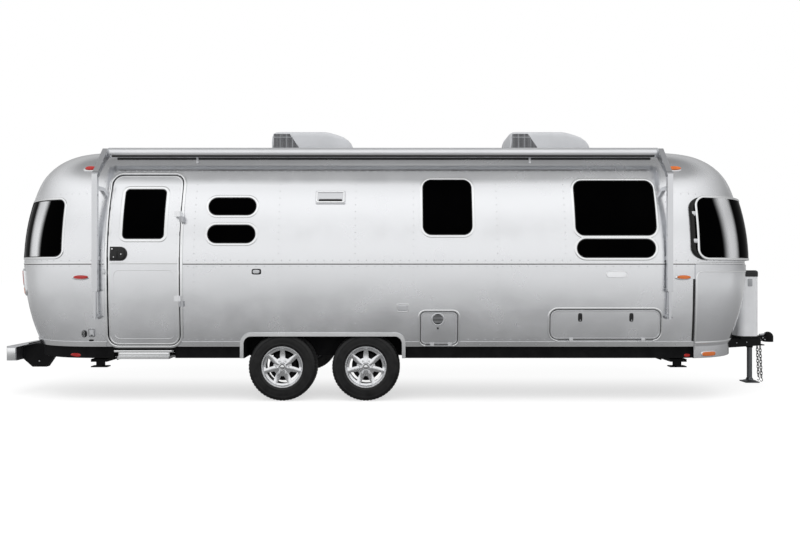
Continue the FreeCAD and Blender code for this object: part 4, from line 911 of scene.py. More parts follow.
def heater_vent():
    """Round exhaust grille of the water heater."""
    point, normal = station(CURB_SKIN, 0.273, 0.874)
    data = bmesh.new()
    lathe(data, point, normal, ((-0.003, 0.054), (0.005, 0.056), (0.008, 0.062), (0.006, 0.069),
                                (-0.003, 0.071)), 40)
    for index in range(6):
        aside = -0.036 + 0.0144 * index
        half = math.sqrt(max(0.053 ** 2 - aside ** 2, 0.0))
        middle = point + Vector((0, 0, aside)) + normal * 0.005
        tube(data, (middle - Vector((half, 0, 0)), middle + Vector((half, 0, 0))), 0.0025, 8)
    piece("heater_vent_rim", data, SATIN, "heater_door")
    # Black disc under the grille bars: painted shade of the vent's hollow.
    data = bmesh.new()
    button(data, CURB_SKIN, (0.219, 0.327), (0.820, 0.928), 0.002, 2.0, 32)
    piece("heater_vent_hollow_shade", data, SEAL, "heater_door")
    data = bmesh.new()
    button(data, CURB_SKIN, (0.262, 0.284), (0.766, 0.790), 0.006, 2.0, 16)
    piece("heater_door_catch", data, BLACK_SHELL, "heater_door")


door_trims()
handle_details()
hatch_trims()
heater_vent()

# ---------------------------------------------------------------- plates, ports and lamps


def plates():
    """Blank oval plate, small cover plate and range vent flap, with their rims and screws."""
    data = bmesh.new()
    button(data, CURB_SKIN, (2.044, 2.271), (1.313, 1.387), 0.004, 3.2, 48)
    piece("blank_plate", data, BRIGHT_SHELL)
    data = bmesh.new()
    ring(data, CURB_SKIN, ((2.050, 2.265), (1.319, 1.381), 0.030), 0.0, 0.008, 0.006)
    ring(data, CURB_SKIN, ((-0.158, -0.039), (0.956, 1.034), 0.012), 0.0, 0.012, 0.005)
    ring(data, CURB_SKIN, ((-1.012, -0.724), (2.116, 2.228), 0.008), 0.0, 0.022, 0.018)
    piece("plate_rims", data, TRIM)
    data = bmesh.new()
    button(data, CURB_SKIN, (-0.150, -0.047), (0.962, 1.028), 0.003, 8.0, 40)
    button(data, shifted(CURB_SKIN, 0.012), (-1.000, -0.736), (2.146, 2.222), 0.005, 10.0, 40)
    piece("cover_plates", data, SATIN)
    # Black pad under the vent flap: painted shade of the slot.
    data = bmesh.new()
    button(data, shifted(CURB_SKIN, 0.010), (-1.002, -0.734), (2.122, 2.146), 0.005, 10.0, 40)
    piece("range_vent_slot_shade", data, SEAL)
    data = bmesh.new()
    rivets(data, shifted(CURB_SKIN, 0.018), spots((-1.012, 2.228), (-0.724, 2.228), 0.07)
           + spots((-1.012, 2.116), (-0.724, 2.116), 0.07), 0.003, 0.0012)
    rivets(data, shifted(CURB_SKIN, 0.003), [(-0.140, 0.972), (-0.057, 0.972), (-0.140, 1.018),
                                             (-0.057, 1.018)], 0.003, 0.0012)
    piece("plate_screws", data, ZINC, angle=70)


def ports():
    """Porch light and the inlets near the rear corner."""
    data = bmesh.new()
    button(data, CURB_SKIN, (-1.690, -1.590), (1.347, 1.408), 0.012, 4.0, 40)
    button(data, CURB_SKIN, (-3.494, -3.444), (0.682, 0.757), 0.016, 2.6, 32)
    button(data, CURB_SKIN, (-3.420, -3.372), (0.640, 0.660), 0.008, 5.0, 24)
    piece("port_bases", data, BLACK_SHELL)
    data = bmesh.new()
    button(data, shifted(CURB_SKIN, 0.012), (-1.676, -1.604), (1.358, 1.397), 0.007, 3.0, 32)
    button(data, CURB_SKIN, (-3.418, -3.350), (0.685, 0.780), 0.014, 5.0, 32)
    piece("port_lights", data, WHITE_SHELL)
    data = bmesh.new()
    ring(data, CURB_SKIN, ((-3.412, -3.356), (0.692, 0.773), 0.008), 0.0, 0.005, 0.017)
    button(data, shifted(CURB_SKIN, 0.014), (-3.396, -3.372), (0.700, 0.712), 0.004, 4.0, 20)
    piece("inlet_rim", data, BLACK_SHELL)
    data = bmesh.new()
    for z in (0.703, 0.736):
        point, normal = station(CURB_SKIN, -3.469, z)
        lathe(data, point + normal * 0.014, normal, ((0, 0.007), (0.003, 0.008), (0.003, 0.012),
                                                     (0, 0.013)), 28)
    piece("inlet_ring", data, SATIN)


GUARD_FOOT = 0.584
REAR_LAMPS = (((-3.560, -3.430), (2.478, 2.516)), ((-3.570, -3.410), (1.300, 1.340)))
FRONT_LAMPS = (((2.785, 2.935), (2.478, 2.516)), ((2.790, 2.935), (1.300, 1.340)))


def lamps():
    """Marker lamps with chromed bases; red at the rear and amber at the front."""
    bases = bmesh.new()
    red = bmesh.new()
    amber = bmesh.new()
    for side in SKINS:
        place = SKINS[side]
        for group, data in ((REAR_LAMPS, red), (FRONT_LAMPS, amber)):
            for x, z in group:
                button(bases, place, (x[0] - 0.022, x[1] + 0.006), (z[0] - 0.012, z[1] + 0.003),
                       0.009, 2.2, 36)
                button(data, place, x, z, 0.020, 2.3, 36, start=0.002)
    rear = end_map("rear")
    for sign in (-1, 1):
        low, high = sorted((sign * 0.750, sign * 0.890))
        button(bases, rear, (low - 0.012, high + 0.012), (1.108, 1.412), 0.017, 5.0, 48)
        button(red, rear, (low + 0.008, high - 0.008), (1.222, 1.390), 0.007, 5.0, 48, start=0.013)
        button(amber, rear, (low + 0.008, high - 0.008), (1.130, 1.202), 0.007, 5.0, 48, start=0.013)
    item = piece("lamp_bases", bases, TRIM)
    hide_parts("marker_lamps")
    item = piece("lamps_red", red, RED_LENS)
    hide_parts("marker_lamps")
    item = piece("lamps_amber", amber, AMBER_LENS)
    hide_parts("marker_lamps")


def upright(place, level, out):
    """The surface map of the upright band below a level, moved outward."""
    def moved(x, z):
        point, normal = station(place, x, level)
        flat = Vector((normal.x, normal.y, 0.0)).normalized()
        return Vector((point.x, point.y, z)) + flat * out
    return moved


def reflectors():
    """Red reflectors on the skirt and the amber lamps of the stone guard's lip."""
    red = bmesh.new()
    amber = bmesh.new()
    rims = bmesh.new()
    for side in SKINS:
        skirt = shifted(SKINS[side], -0.024)
        button(red, skirt, (-3.660, -3.530), (0.462, 0.506), 0.010, 2.2, 32, 0.012)
        button(red, skirt, (2.900, 2.972), (0.466, 0.500), 0.010, 3.0, 32, 0.012)
        lip = upright(SKINS[side], GUARD_FOOT, 0.012)
        button(rims, lip, (3.075, 3.265), (0.470, 0.530), 0.006, 4.0, 36)
        button(amber, lip, (3.085, 3.255), (0.477, 0.523), 0.014, 4.0, 36)
    piece("reflectors_red", red, RED_LENS)
    piece("lamps_lip", amber, AMBER_LENS)
    piece("lamps_lip_rims", rims, TRIM)


plates()
ports()
lamps()
reflectors()

# ---------------------------------------------------------------- stone guards and front window guard

GUARD_REAR = 2.990


def guard_edges():
    """Rolled lips of the stone guards, and a black strip on the skin at their rear edges as painted
    shadow of the gap.
    """
    lips = bmesh.new()
    gaps = bmesh.new()
    for side, sign in SIDES:
        sheet_face = shifted(SKINS[side], 0.012)
        rear = line((GUARD_REAR + 0.010, 0.470), (GUARD_REAR + 0.010, 1.310), 24)
        rear += [(GUARD_REAR + 0.070 - 0.060 * math.cos(math.radians(15 * i)),
                  1.310 + 0.070 * math.sin(math.radians(15 * i))) for i in range(1, 7)]
        sweep(lips, stations(sheet_face, rear), bead(0.016, 0.005, 0.008), closed=False)
        # Black strip on the skin just behind the guard: painted shadow of the gap.
        gap = line((GUARD_REAR - 0.012, 0.640), (GUARD_REAR - 0.012, 1.300), 24)
        sweep(gaps, stations(SKINS[side], gap), bead(0.020, 0.005), closed=False)
        around = shifted(corner_map("front", sign, GUARD_REAR, 0.550, 1.0), 0.012)
        for z, width, proud, first in ((0.622, 0.026, 0.007, 0.01), (1.380, 0.014, 0.005, 0.075),
                                       (0.470, 0.014, 0.005, 0.01)):
            path = line((first, z), (0.99, z), 32)
            sweep(lips, stations(around, path), bead(width, proud, 0.008), closed=False)
    piece("guard_lips", lips, TRIM)
    piece("guard_gap_shadows", gaps, SEAL)


GUARD_WIDTH = 3.2
GUARD_BOX = ((0.004, GUARD_WIDTH - 0.004), (1.504, 2.176), 0.108)


def window_guard_sheet():
    """The curved tinted sheet with rounded corners, and a black ring behind its edges: partly the
    guard's seat, partly painted shadow of the gap behind the guard.
    """
    around = wrap_map("front", GUARD_REAR + 0.004, GUARD_WIDTH)
    outer, inner = shifted(around, 0.040), shifted(around, 0.033)
    (left, right), (low, high), corner = GUARD_BOX
    turns = [math.radians(90.0 * i / 10) for i in range(11)]
    columns = [(left + corner * (1 - math.cos(t)), corner * (1 - math.sin(t))) for t in turns]
    count = 80
    first, last = left + corner, right - corner
    columns += [(first + (last - first) * i / count, 0.0) for i in range(1, count)]
    columns += [(right - corner * (1 - math.cos(t)), corner * (1 - math.sin(t)))
                for t in reversed(turns)]
    data = bmesh.new()
    rings = []
    for along, cut in columns:
        levels = [low + cut + (high - low - 2 * cut) * i / 8 for i in range(9)]
        rings.append([outer(along, z) for z in levels] + [inner(along, z) for z in reversed(levels)])
    skin_rings(data, rings, False)
    item = piece("window_guard_sheet", data, GUARD_GLASS, angle=50)
    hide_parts("front_window_guard")
    # Black ring between skin and guard: partly seat, partly painted shadow of the gap.
    data = bmesh.new()
    box = ((-0.020, GUARD_WIDTH + 0.020), (1.530, 2.150), 0.10)
    sweep(data, stations(around, rounded(*box, steps=10, straight=30)), bead(0.040, 0.031))
    piece("window_guard_seat_shadow", data, SEAL)


def window_guard_frame():
    """Bright frame and stand-off brackets of the guard over the front windows."""
    width = GUARD_WIDTH
    place = shifted(wrap_map("front", GUARD_REAR + 0.004, width), 0.040)
    data = bmesh.new()
    box = ((0.012, width - 0.012), (1.512, 2.168), 0.10)
    path = stations(place, rounded(*box, steps=10, straight=30))
    sweep(data, path, bead(0.024, 0.0054, 0.006))
    piece("window_guard_frame", data, TRIM)
    data = bmesh.new()
    for side in SKINS:
        for z in (1.700, 1.990):
            point, normal = station(SKINS[side], GUARD_REAR - 0.010, z)
            low = point - Vector((0.016, 0, 0.022))
            high = point + Vector((0.020, 0, 0.022)) + normal * 0.034
            corners = [Vector(map(min, low, high)), Vector(map(max, low, high))]
            slab(data, corners[0], corners[1], 0.005)
    piece("window_guard_brackets", data, SATIN)


guard_edges()
window_guard_sheet()
window_guard_frame()

# ---------------------------------------------------------------- roof: coolers and awning

COOLERS = (("air_conditioner_rear", -1.661), ("air_conditioner_front", 1.186))
COOLER_LENGTH = 0.970
COOLER_HALF = 0.350
COOLER_TOP = 3.067
COOLER_FOOT = 2.775


def cooler_ring(x, half, top):
    """One rounded section of the cooler's shroud."""
    points = []
    for index in range(40):
        angle = TAU * index / 40
        c, s = math.cos(angle), math.sin(angle)
        y = half * math.copysign(abs(c) ** (2.0 / 6.0), c)
        up = math.copysign(abs(s) ** (2.0 / 5.0), s)
        middle = 0.5 * (COOLER_FOOT + top)
        points.append(Vector((x, y, middle + (top - COOLER_FOOT) * 0.5 * up)))
    return points


def cooler_shell(name, start):
    """The moulded shroud: square at the rear, falling away in a curve at the front."""
    data = bmesh.new()
    stages = ((0.0, 0.93, 0.70), (0.006, 0.97, 0.84), (0.018, 0.99, 0.93), (0.045, 1.0, 0.985),
              (0.10, 1.0, 1.0), (0.38, 1.0, 1.0), (0.64, 1.0, 1.0), (0.70, 1.0, 0.975),
              (0.80, 0.995, 0.88), (0.88, 0.985, 0.78), (0.94, 0.96, 0.64), (0.975, 0.93, 0.50),
              (0.993, 0.90, 0.36), (1.0, 0.87, 0.28))
    rings = [cooler_ring(start + COOLER_LENGTH * share, COOLER_HALF * wide,
                         COOLER_FOOT + (COOLER_TOP - COOLER_FOOT) * tall)
             for share, wide, tall in stages]
    skin_rings(data, rings, False)
    item = piece(name + "_shell", data, WHITE_SHELL, angle=50)
    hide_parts(name)


def cooler_grille(name, start):
    """Louvred intake at the rear of each side, cut off by a slanted edge; a black sheet behind the bars
    is painted shade of the hollow.
    """
    dark = bmesh.new()
    bars = bmesh.new()
    base, top = COOLER_FOOT + 0.05, COOLER_TOP - 0.045
    for sign in (-1, 1):
        face = sign * (COOLER_HALF - 0.004)
        corners = ((start + 0.016, base), (start + 0.350, base), (start + 0.215, top),
                   (start + 0.030, top))
        points = [Vector((x, face, z)) for x, z in corners]
        # Black sheet behind the louvres: painted shade of the intake's hollow.
        extruded(dark, points, Vector((0, sign * 0.005, 0)))
        for index in range(22):
            x = start + 0.028 + 0.0148 * index
            high = top if x < start + 0.215 else top - (x - start - 0.215) * (top - base) / 0.135
            thick = 0.0045 if index % 5 else 0.008
            if high - base > 0.02:
                low = Vector((x - thick / 2, min(face, face + sign * 0.008), base))
                slab(bars, low, (x + thick / 2, max(face, face + sign * 0.008), high), 0.0015, 1)
        for z in (base, COOLER_TOP - 0.085):
            end = start + 0.350 if z == base else start + 0.250
            slab(bars, (start + 0.016, min(face, face + sign * 0.008), z - 0.004),
                 (end, max(face, face + sign * 0.008), z + 0.004), 0.002, 1)
    piece(name + "_grille_hollow_shade", dark, BLACK_SHELL)
    piece(name + "_grille_bars", bars, GREY_SHELL)


def cooler_foot(name, start):
    """Rubber seat under the shroud and the shroud's screws."""
    data = bmesh.new()
    slab(data, (start + 0.05, -0.31, 2.778), (start + 0.90, 0.31, 2.800), 0.008)
    piece(name + "_gasket", data, SEAL)
    data = bmesh.new()
    for sign in (-1, 1):
        for share in (0.45, 0.72):
            point = Vector((start + share * COOLER_LENGTH, sign * (COOLER_HALF - 0.001), 2.835))
            dome(data, point, Vector((0, sign, 0)), 0.008, 0.003, 12)
    piece(name + "_screws", data, ZINC)


ROLLER_CENTRE = (-1.060, 2.672)
ROLLER_RADIUS = 0.0525
ARM_PLACES = (-3.319, 2.697)


def awning():
    """End caps, wall rail, hem bar and hooks of the rolled awning; the rail and hem bar are real parts
    made black as painted shadow under the roller.
    """
    data = bmesh.new()
    for x, way in ((-3.289, -1), (2.667, 1)):
        lathe(data, (x, *ROLLER_CENTRE), (way, 0, 0),
              ((-0.020, 0.020), (-0.020, ROLLER_RADIUS), (0.001, ROLLER_RADIUS),
               (0.010, 0.046), (0.014, 0.020)), 36)
    piece("awning_end_caps", data, GREY_SHELL)
    # Black wall rail: painted shadow of the gap under the roller.
    data = bmesh.new()
    path = line((-3.260, 2.636), (2.650, 2.636), 24)
    sweep(data, stations(CURB_SKIN, path), bead(0.046, 0.014), closed=False)
    piece("awning_wall_rail", data, BLACK_SHELL)
    # Black hem bar: painted shadow along the roller's underside.
    data = bmesh.new()
    angle = math.radians(215)
    y = ROLLER_CENTRE[0] + ROLLER_RADIUS * math.sin(angle)
    z = ROLLER_CENTRE[1] + ROLLER_RADIUS * math.cos(angle)
    slab(data, (-3.250, y - 0.012, z - 0.010), (2.630, y + 0.012, z + 0.012), 0.006)
    piece("awning_hem_bar", data, BLACK_SHELL)
    data = bmesh.new()
    for x in (-2.355, 1.300):
        point, normal = station(CURB_SKIN, x, 2.585)
        slab(data, point - Vector((0.011, 0.0, 0.020)) + normal * 0.002,
             point + Vector((0.011, -0.014, 0.060)) + normal * 0.002, 0.004)
        dome(data, point + normal * 0.018 - Vector((0, 0, 0.01)), normal, 0.006, 0.003, 10)
    piece("awning_hooks", data, SATIN)


def awning_arm_details():
    """Pivot knuckles, grooves, bolts and foot brackets of the awning arms; each groove is a thin black
    strip, painted shade.
    """
    steel = bmesh.new()
    dark = bmesh.new()
    for x in ARM_PLACES:
        for z in (1.300, 1.760, 2.180):
            for way in (-1, 1):
                dome(steel, Vector((x + way * 0.0275, -1.336, z)), Vector((way, 0, 0)), 0.009, 0.005, 12)
        # Thin black strip for the arm's groove: painted shade.
        slab(dark, (x - 0.003, -1.3519, 1.42), (x + 0.003, -1.3500, 2.30), 0.0008, 1)
        for y, z, radius in ((-1.322, 2.400, 0.026), (-1.200, 2.545, 0.020), (-1.105, 2.640, 0.024)):
            lathe(steel, (x - 0.034, y, z), (1, 0, 0), ((0, 0.006), (0, radius), (0.006, radius + 0.002),
                                                       (0.062, radius + 0.002), (0.068, radius),
                                                       (0.068, 0.006)), 20)
        point = station(CURB_SKIN, x, 0.900)[0]
        slab(steel, point - Vector((0.030, 0.030, 0.020)), point + Vector((0.030, 0.002, 0.030)),
             0.006)
        tube(steel, (point + Vector((-0.040, -0.026, 0)), point + Vector((0.046, -0.026, 0))),
             0.008, 10)
        slab(steel, (x - 0.034, -1.346, 1.168), (x + 0.034, -1.300, 1.200), 0.006)
    piece("awning_arm_hardware", steel, ZINC)
    piece("awning_arm_groove_shadows", dark, BLACK_SHELL)


for cooler_name, cooler_start in COOLERS:
    cooler_shell(cooler_name, cooler_start)
    cooler_grille(cooler_name, cooler_start)
    cooler_foot(cooler_name, cooler_start)
awning()
awning_arm_details()

# ---------------------------------------------------------------- wheels

TYRE_RADIUS = 0.363
RIM = 0.212
SPOKES = 7
AXLES = (("rear", -1.379), ("front", -0.490))
WHEEL_PLANE = 1.1215


def tyre_profile():
    """Half section of the tyre: (along the axle, radius, shoulder block depth)."""
    half = [
        (0.098, RIM + 0.0005, 0), (0.1000, 0.2235, 0), (0.1050, 0.2245, 0), (0.1085, 0.2320, 0),
        (0.1100, 0.2400, 0), (0.1118, 0.2440, 0), (0.1108, 0.2480, 0), (0.1120, 0.2650, 0),
        (0.1125, 0.2850, 0), (0.1118, 0.3050, 0), (0.1102, 0.3180, 0), (0.1112, 0.3210, 0),
        (0.1098, 0.3240, 0), (0.1075, 0.3340, 0.0), (0.1040, 0.3440, 0.003), (0.0985, 0.3530, 0.005),
        (0.0900, 0.3598, 0.006), (0.0740, 0.3622, 0.006), (0.0715, 0.3560, 0), (0.0655, 0.3560, 0),
        (0.0630, 0.3626, 0.004), (0.0460, 0.3630, 0.004), (0.0435, 0.3562, 0), (0.0375, 0.3562, 0),
        (0.0350, 0.3630, 0.003), (0.0130, 0.3630, 0.003), (0.0105, 0.3562, 0), (0.0050, 0.3562, 0),
        (0.0030, 0.3630, 0.0),
    ]
    return half + [(-along, radius, depth) for along, radius, depth in reversed(half)]


def tyre(name, centre, body):
    """A tyre with sidewall ribs, circumferential grooves and shoulder blocks."""
    data = bmesh.new()
    steps = 240
    profile = tyre_profile()
    rings = []
    for index in range(steps):
        angle = TAU * index / steps
        cut = 1.0 if index % 4 == 0 else 0.0
        rings.append([Vector((centre[0] + (radius - depth * cut) * math.cos(angle),
                              centre[1] + along,
                              centre[2] + (radius - depth * cut) * math.sin(angle)))
                      for along, radius, depth in profile])
    skin_rings(data, rings, True)
    item = piece(name, data, TYRE, body, 30)
    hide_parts(name.replace("tread_", "tyre_"))


def spoke_face(radius, off_middle):
    """Height of the wheel's face: dished, each spoke crowned along its middle."""
    dish = 0.093 - 0.010 * math.sin(math.pi * min(max((radius - 0.05) / 0.15, 0.0), 1.0))
    return dish + 0.005 * (1.0 - min(off_middle, 1.0) ** 2)


def spoke_disc(data, centre, way):
    """The disc with seven windows, as a closed thick sheet."""
    radii = (0.046, 0.060, 0.082, 0.100, 0.118, 0.138, 0.158, 0.176, 0.186, 0.200)
    window = (0.100, 0.176)
    sector = TAU / SPOKES
    cells = 6
    grid = []
    for radius in radii:
        share = min(max((radius - window[0]) / (window[1] - window[0]), 0.0), 1.0)
        half = math.radians(9.0 + 9.5 * share)
        ring_points = []
        for spoke in range(SPOKES):
            middle = spoke * sector + math.radians(90) - sector * 0.5
            for i in range(cells):
                angle = middle - half + 2 * half * i / cells
                ring_points.append((angle, 1.0))
            for i in range(cells):
                offset = -1.0 + 2.0 * i / cells
                angle = middle + half + (sector - 2 * half) * i / cells
                ring_points.append((angle, abs(offset)))
        grid.append([data.verts.new(Vector((
            centre[0] + radius * math.cos(angle),
            centre[1] + way * spoke_face(radius, off),
            centre[2] + radius * math.sin(angle)))) for angle, off in ring_points])
    count = len(grid[0])
    faces = []
    for row in range(len(radii) - 1):
        inside = window[0] <= radii[row] < window[1]
        for spot in range(count):
            if inside and spot % (2 * cells) < cells:
                continue
            after = (spot + 1) % count
            faces.append(data.faces.new((grid[row][spot], grid[row][after],
                                         grid[row + 1][after], grid[row + 1][spot])))
    bmesh.ops.recalc_face_normals(data, faces=faces)
    if faces[0].normal.y * way < 0:
        bmesh.ops.reverse_faces(data, faces=faces)
    bmesh.ops.solidify(data, geom=faces, thickness=0.020)


def alloy(name, centre, way, body):
    """Alloy wheel: barrel and lip, spoked disc, hub cap, nuts and the drum behind."""
    axis = (0, way, 0)
    data = bmesh.new()
    spoke_disc(data, centre, way)
    lathe(data, centre, axis, ((0.0985, 0.2135), (0.1020, 0.2215), (0.1095, 0.2215), (0.1115, 0.2185),
                               (0.1108, 0.2080), (0.1020, 0.2030), (0.0960, 0.1985),
                               (0.0860, 0.1970), (0.0860, 0.2110)), 84)
    item = piece(name, data, ALLOY, body, 32)
    bevel = item.modifiers.new("soft_edges", "BEVEL")
    bevel.width = 0.002
    bevel.segments = 2
    bevel.limit_method = "ANGLE"
    bevel.angle_limit = math.radians(50)
    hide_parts(name.replace("alloy_", "wheel_"))
    data = bmesh.new()
    lathe(data, centre, axis, ((0.060, 0.018), (0.098, 0.020), (0.1110, 0.026), (0.1115, 0.034),
                               (0.1060, 0.041), (0.0960, 0.044), (0.0900, 0.050), (0.0700, 0.050)),
          40)
    lathe(data, centre, axis, ((0.098, 0.002), (0.1120, 0.002), (0.1118, 0.014), (0.1080, 0.021),
                               (0.098, 0.021)), 32)
    for index in range(6):
        angle = TAU * index / 6
        spot = Vector(centre) + Vector((math.cos(angle), 0, math.sin(angle))) * 0.067
        lathe(data, spot, axis, ((0.080, 0.003), (0.1015, 0.004), (0.1035, 0.008), (0.1000, 0.0105),
                                 (0.080, 0.0110)), 6)
    piece(name.replace("alloy_", "hub_"), data, TRIM, body, 32)
    # Inner barrel seen through the spoke windows, coloured dark: painted shade.
    data = bmesh.new()
    lathe(data, centre, axis, ((0.0855, 0.2110), (0.0855, 0.1968), (-0.0950, 0.1950),
                               (-0.1060, 0.2000), (-0.1115, 0.2080), (-0.1110, 0.2215),
                               (-0.1020, 0.2215), (-0.0985, 0.2115)), 84)
    piece(name.replace("alloy_", "barrel_"), data, SHADED_BARREL_ALLOY, body, 32)
    data = bmesh.new()
    lathe(data, centre, axis, ((0.050, 0.030), (0.050, 0.140), (0.040, 0.150), (-0.030, 0.152),
                               (-0.034, 0.158), (-0.040, 0.158), (-0.044, 0.030)), 48)
    piece(name.replace("alloy_", "drum_"), data, UNDERCOAT, body, 40)


for axle_name, axle_x in AXLES:
    for side_name, side_sign in SIDES:
        where = "%s_%s" % (axle_name, side_name)
        hub = (axle_x, side_sign * WHEEL_PLANE, TYRE_RADIUS)
        tyre("tread_" + where, hub, "wheel_" + where)
        alloy("alloy_" + where, hub, side_sign, "wheel_" + where)

# ---------------------------------------------------------------- hitch, jack, chains, gas cover


def stadium(middle, half, radius, side, steps=8):
    """Points of an oval link in the plane of Z and one other direction."""
    points = []
    for end, start in ((1, 0), (-1, 180)):
        for index in range(steps + 1):
            angle = math.radians(start + 180.0 * index / steps)
            points.append(middle + side * radius * math.cos(angle)
                          + Vector((0, 0, end * half + radius * math.sin(angle))))
    return points


def chains():
    """Two chains of welded oval links with a hook at the foot of each."""
    data = bmesh.new()
    wire, radius, half = 0.0046, 0.0120, 0.0105
    pitch = 2.0 * (radius + half) - 2.0 * wire - 0.0004
    for ahead, sign in ((0.010, -1), (0.022, 1)):
        for index in range(11):
            side = Vector((0, 1, 0)) if index % 2 == 0 else Vector((1, 0, 0))
            middle = Vector((4.330 + ahead + 0.0016 * index, sign * 0.046,
                             0.4600 - radius - half - wire - pitch * index))
            tube(data, stadium(middle, half, radius, side), wire, 8, closed=True)
        foot = middle - Vector((0, 0, half + 0.012))
        hook = [foot + Vector((0.015 * math.sin(angle), 0, -0.022 + 0.020 * math.cos(angle)))
                for angle in [math.radians(-20 + 26 * i) for i in range(11)]]
        tube(data, hook, 0.0042, 8)
    item = piece("chain_links", data, CHAIN_STEEL, angle=60)
    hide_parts("safety_chains")


def jack_details():
    """Collars and bolts of the tongue jack; rim and pin of its foot."""
    centre = (4.232, 0.0)
    data = bmesh.new()
    for z, radius, tall in ((0.572, 0.062, 0.012), (0.586, 0.050, 0.020), (0.985, 0.044, 0.026)):
        lathe(data, (*centre, z), (0, 0, 1), ((0, 0.0385), (0, radius - 0.003), (0.003, radius),
                                              (tall - 0.003, radius), (tall, radius - 0.003),
                                              (tall, 0.0385)), 36)
    for index in range(3):
        angle = TAU * index / 3 + 0.4
        spot = Vector((centre[0] + 0.054 * math.cos(angle), 0.054 * math.sin(angle), 0.584))
        lathe(data, spot, (0, 0, 1), ((0, 0.002), (0, 0.007), (0.006, 0.007), (0.008, 0.002)), 6)
    piece("jack_collars", data, STEEL)
    data = bmesh.new()
    lathe(data, (*centre, 0.0), (0, 0, 1), ((0.0145, 0.031), (0.0145, 0.078), (0.018, 0.080),
                                            (0.021, 0.074), (0.030, 0.046), (0.050, 0.036),
                                            (0.060, 0.031)), 40)
    tube(data, (Vector((4.232, -0.048, 0.048)), Vector((4.232, 0.048, 0.048))), 0.005, 10)
    piece("jack_foot_flange", data, STEEL, "jack_leg")


def coupler_details():
    """Latch lever, pivot pin and pivot bolts of the coupler, and bolts along the drawbar."""
    data = bmesh.new()
    slab(data, (4.352, -0.012, 0.578), (4.445, 0.012, 0.604), 0.006,
         turn=Matrix.Rotation(math.radians(-8), 4, "Y"))
    tube(data, (Vector((4.372, -0.054, 0.556)), Vector((4.372, 0.054, 0.556))), 0.008, 12)
    for x in (4.345, 4.398):
        for sign in (-1, 1):
            dome(data, Vector((x, sign * 0.048, 0.532)), Vector((0, sign, 0)), 0.010, 0.006, 6)
    piece("coupler_latch", data, ZINC)
    data = bmesh.new()
    for sign in (-1, 1):
        for x in (3.62, 3.78, 3.94, 4.10):
            share = (x - 3.5) / 0.83
            y = 0.430 - (0.430 - 0.058) * share + 0.026
            dome(data, Vector((x, sign * y, 0.515)), Vector((0, sign, 0)), 0.009, 0.005, 6)
    piece("drawbar_bolts", data, ZINC)


def gas_cover_details():
    """Side ribs and top knob of the gas-bottle cover."""
    data = bmesh.new()
    for sign in (-1, 1):
        slab(data, (4.020, sign * 0.365 - 0.006, 1.200), (4.075, sign * 0.365 + 0.006, 1.290), 0.008)
    piece("gas_cover_ribs", data, GREY_SHELL)
    data = bmesh.new()
    lathe(data, (4.0475, 0.0, 1.388), (0, 0, 1), ((0, 0.004), (0, 0.030), (0.010, 0.030), (0.014, 0.026),
                                                  (0.016, 0.034), (0.030, 0.034), (0.036, 0.026),
                                                  (0.036, 0.004)), 24)
    piece("gas_cover_knob", data, BLACK_SHELL)


# ---------------------------------------------------------------- bumper, step and skirt


def bumper_details():
    """End caps and bolts of the bumper, and the framed blank plate above it."""
    data = bmesh.new()
    for sign in (-1, 1):
        y = sign * 0.850
        button_box = ((-4.524, -4.430), (0.388, 0.524))
        low = (button_box[0][0], min(y, y + sign * 0.008), button_box[1][0])
        high = (button_box[0][1], max(y, y + sign * 0.008), button_box[1][1])
        slab(data, low, high, 0.006, 3)
    piece("bumper_end_caps", data, TRIM)
    data = bmesh.new()
    for sign in (-1, 1):
        for y in (0.690, 0.500):
            for z in (0.430, 0.482):
                dome(data, Vector((-4.526, sign * y, z)), Vector((-1, 0, 0)), 0.011, 0.0038, 12)
        for x, z in ((-4.12, 0.430), (-4.23, 0.360)):
            dome(data, Vector((x, sign * 0.725, z)), Vector((0, sign, 0)), 0.012, 0.007, 6)
    piece("bumper_bolts", data, ZINC)
    rear = end_map("rear")
    data = bmesh.new()
    button(data, rear, (-0.160, 0.160), (1.150, 1.310), 0.006, 8.0, 48)
    piece("plate_blank", data, WHITE_SHELL)
    data = bmesh.new()
    ring(data, rear, ((-0.160, 0.160), (1.150, 1.310), 0.016), 0.0, 0.010, 0.009)
    piece("plate_frame", data, TRIM)


def step_details():
    """Ribbed black treads and bright nosings on the entry step."""
    dark = bmesh.new()
    bright = bmesh.new()
    for index in range(9):
        y = -1.250 + 0.026 * index
        slab(dark, (-3.140, y, 0.5425), (-2.548, y + 0.014, 0.5465), 0.0015, 1)
    slab(bright, (-3.105, -1.238, 0.462), (-2.583, -1.232, 0.530), 0.002)
    slab(bright, (-3.150, -1.268, 0.524), (-2.538, -1.256, 0.5465), 0.004)
    for x in (-3.150, -2.538):
        for z in (0.470, 0.520):
            dome(bright, Vector((x - 0.0045 if x < -3 else x + 0.0045, -1.20, z)),
                 Vector((math.copysign(1, x + 2.844), 0, 0)), 0.009, 0.005, 12)
    piece("step_treads", dark, SEAL, "entry_step")
    piece("step_nosing", bright, TRIM, "entry_step")


def skirt_details():
    """Screws along the rub rail, clear of the door and the wheel arch."""
    data = bmesh.new()
    for side in SKINS:
        rail = shifted(SKINS[side], 0.010)
        boxes = ((DOOR[0], (0.4, 0.7), 0), ((-1.86, -0.03), (0.3, 0.8), 0))
        for a, b in ((-3.22, -1.86), (-0.02, 2.94)):
            row = [p for p in spots((a, 0.610), (b, 0.610), 0.15) if clear_of(boxes, *p, 0.03)]
            rivets(data, rail, row, 0.006, 0.002, 8)
    piece("rail_screws", data, ZINC, angle=70)


chains()
jack_details()
coupler_details()
gas_cover_details()
bumper_details()
step_details()
skirt_details()


# ---------------------------------------------------------------- stage, light and camera

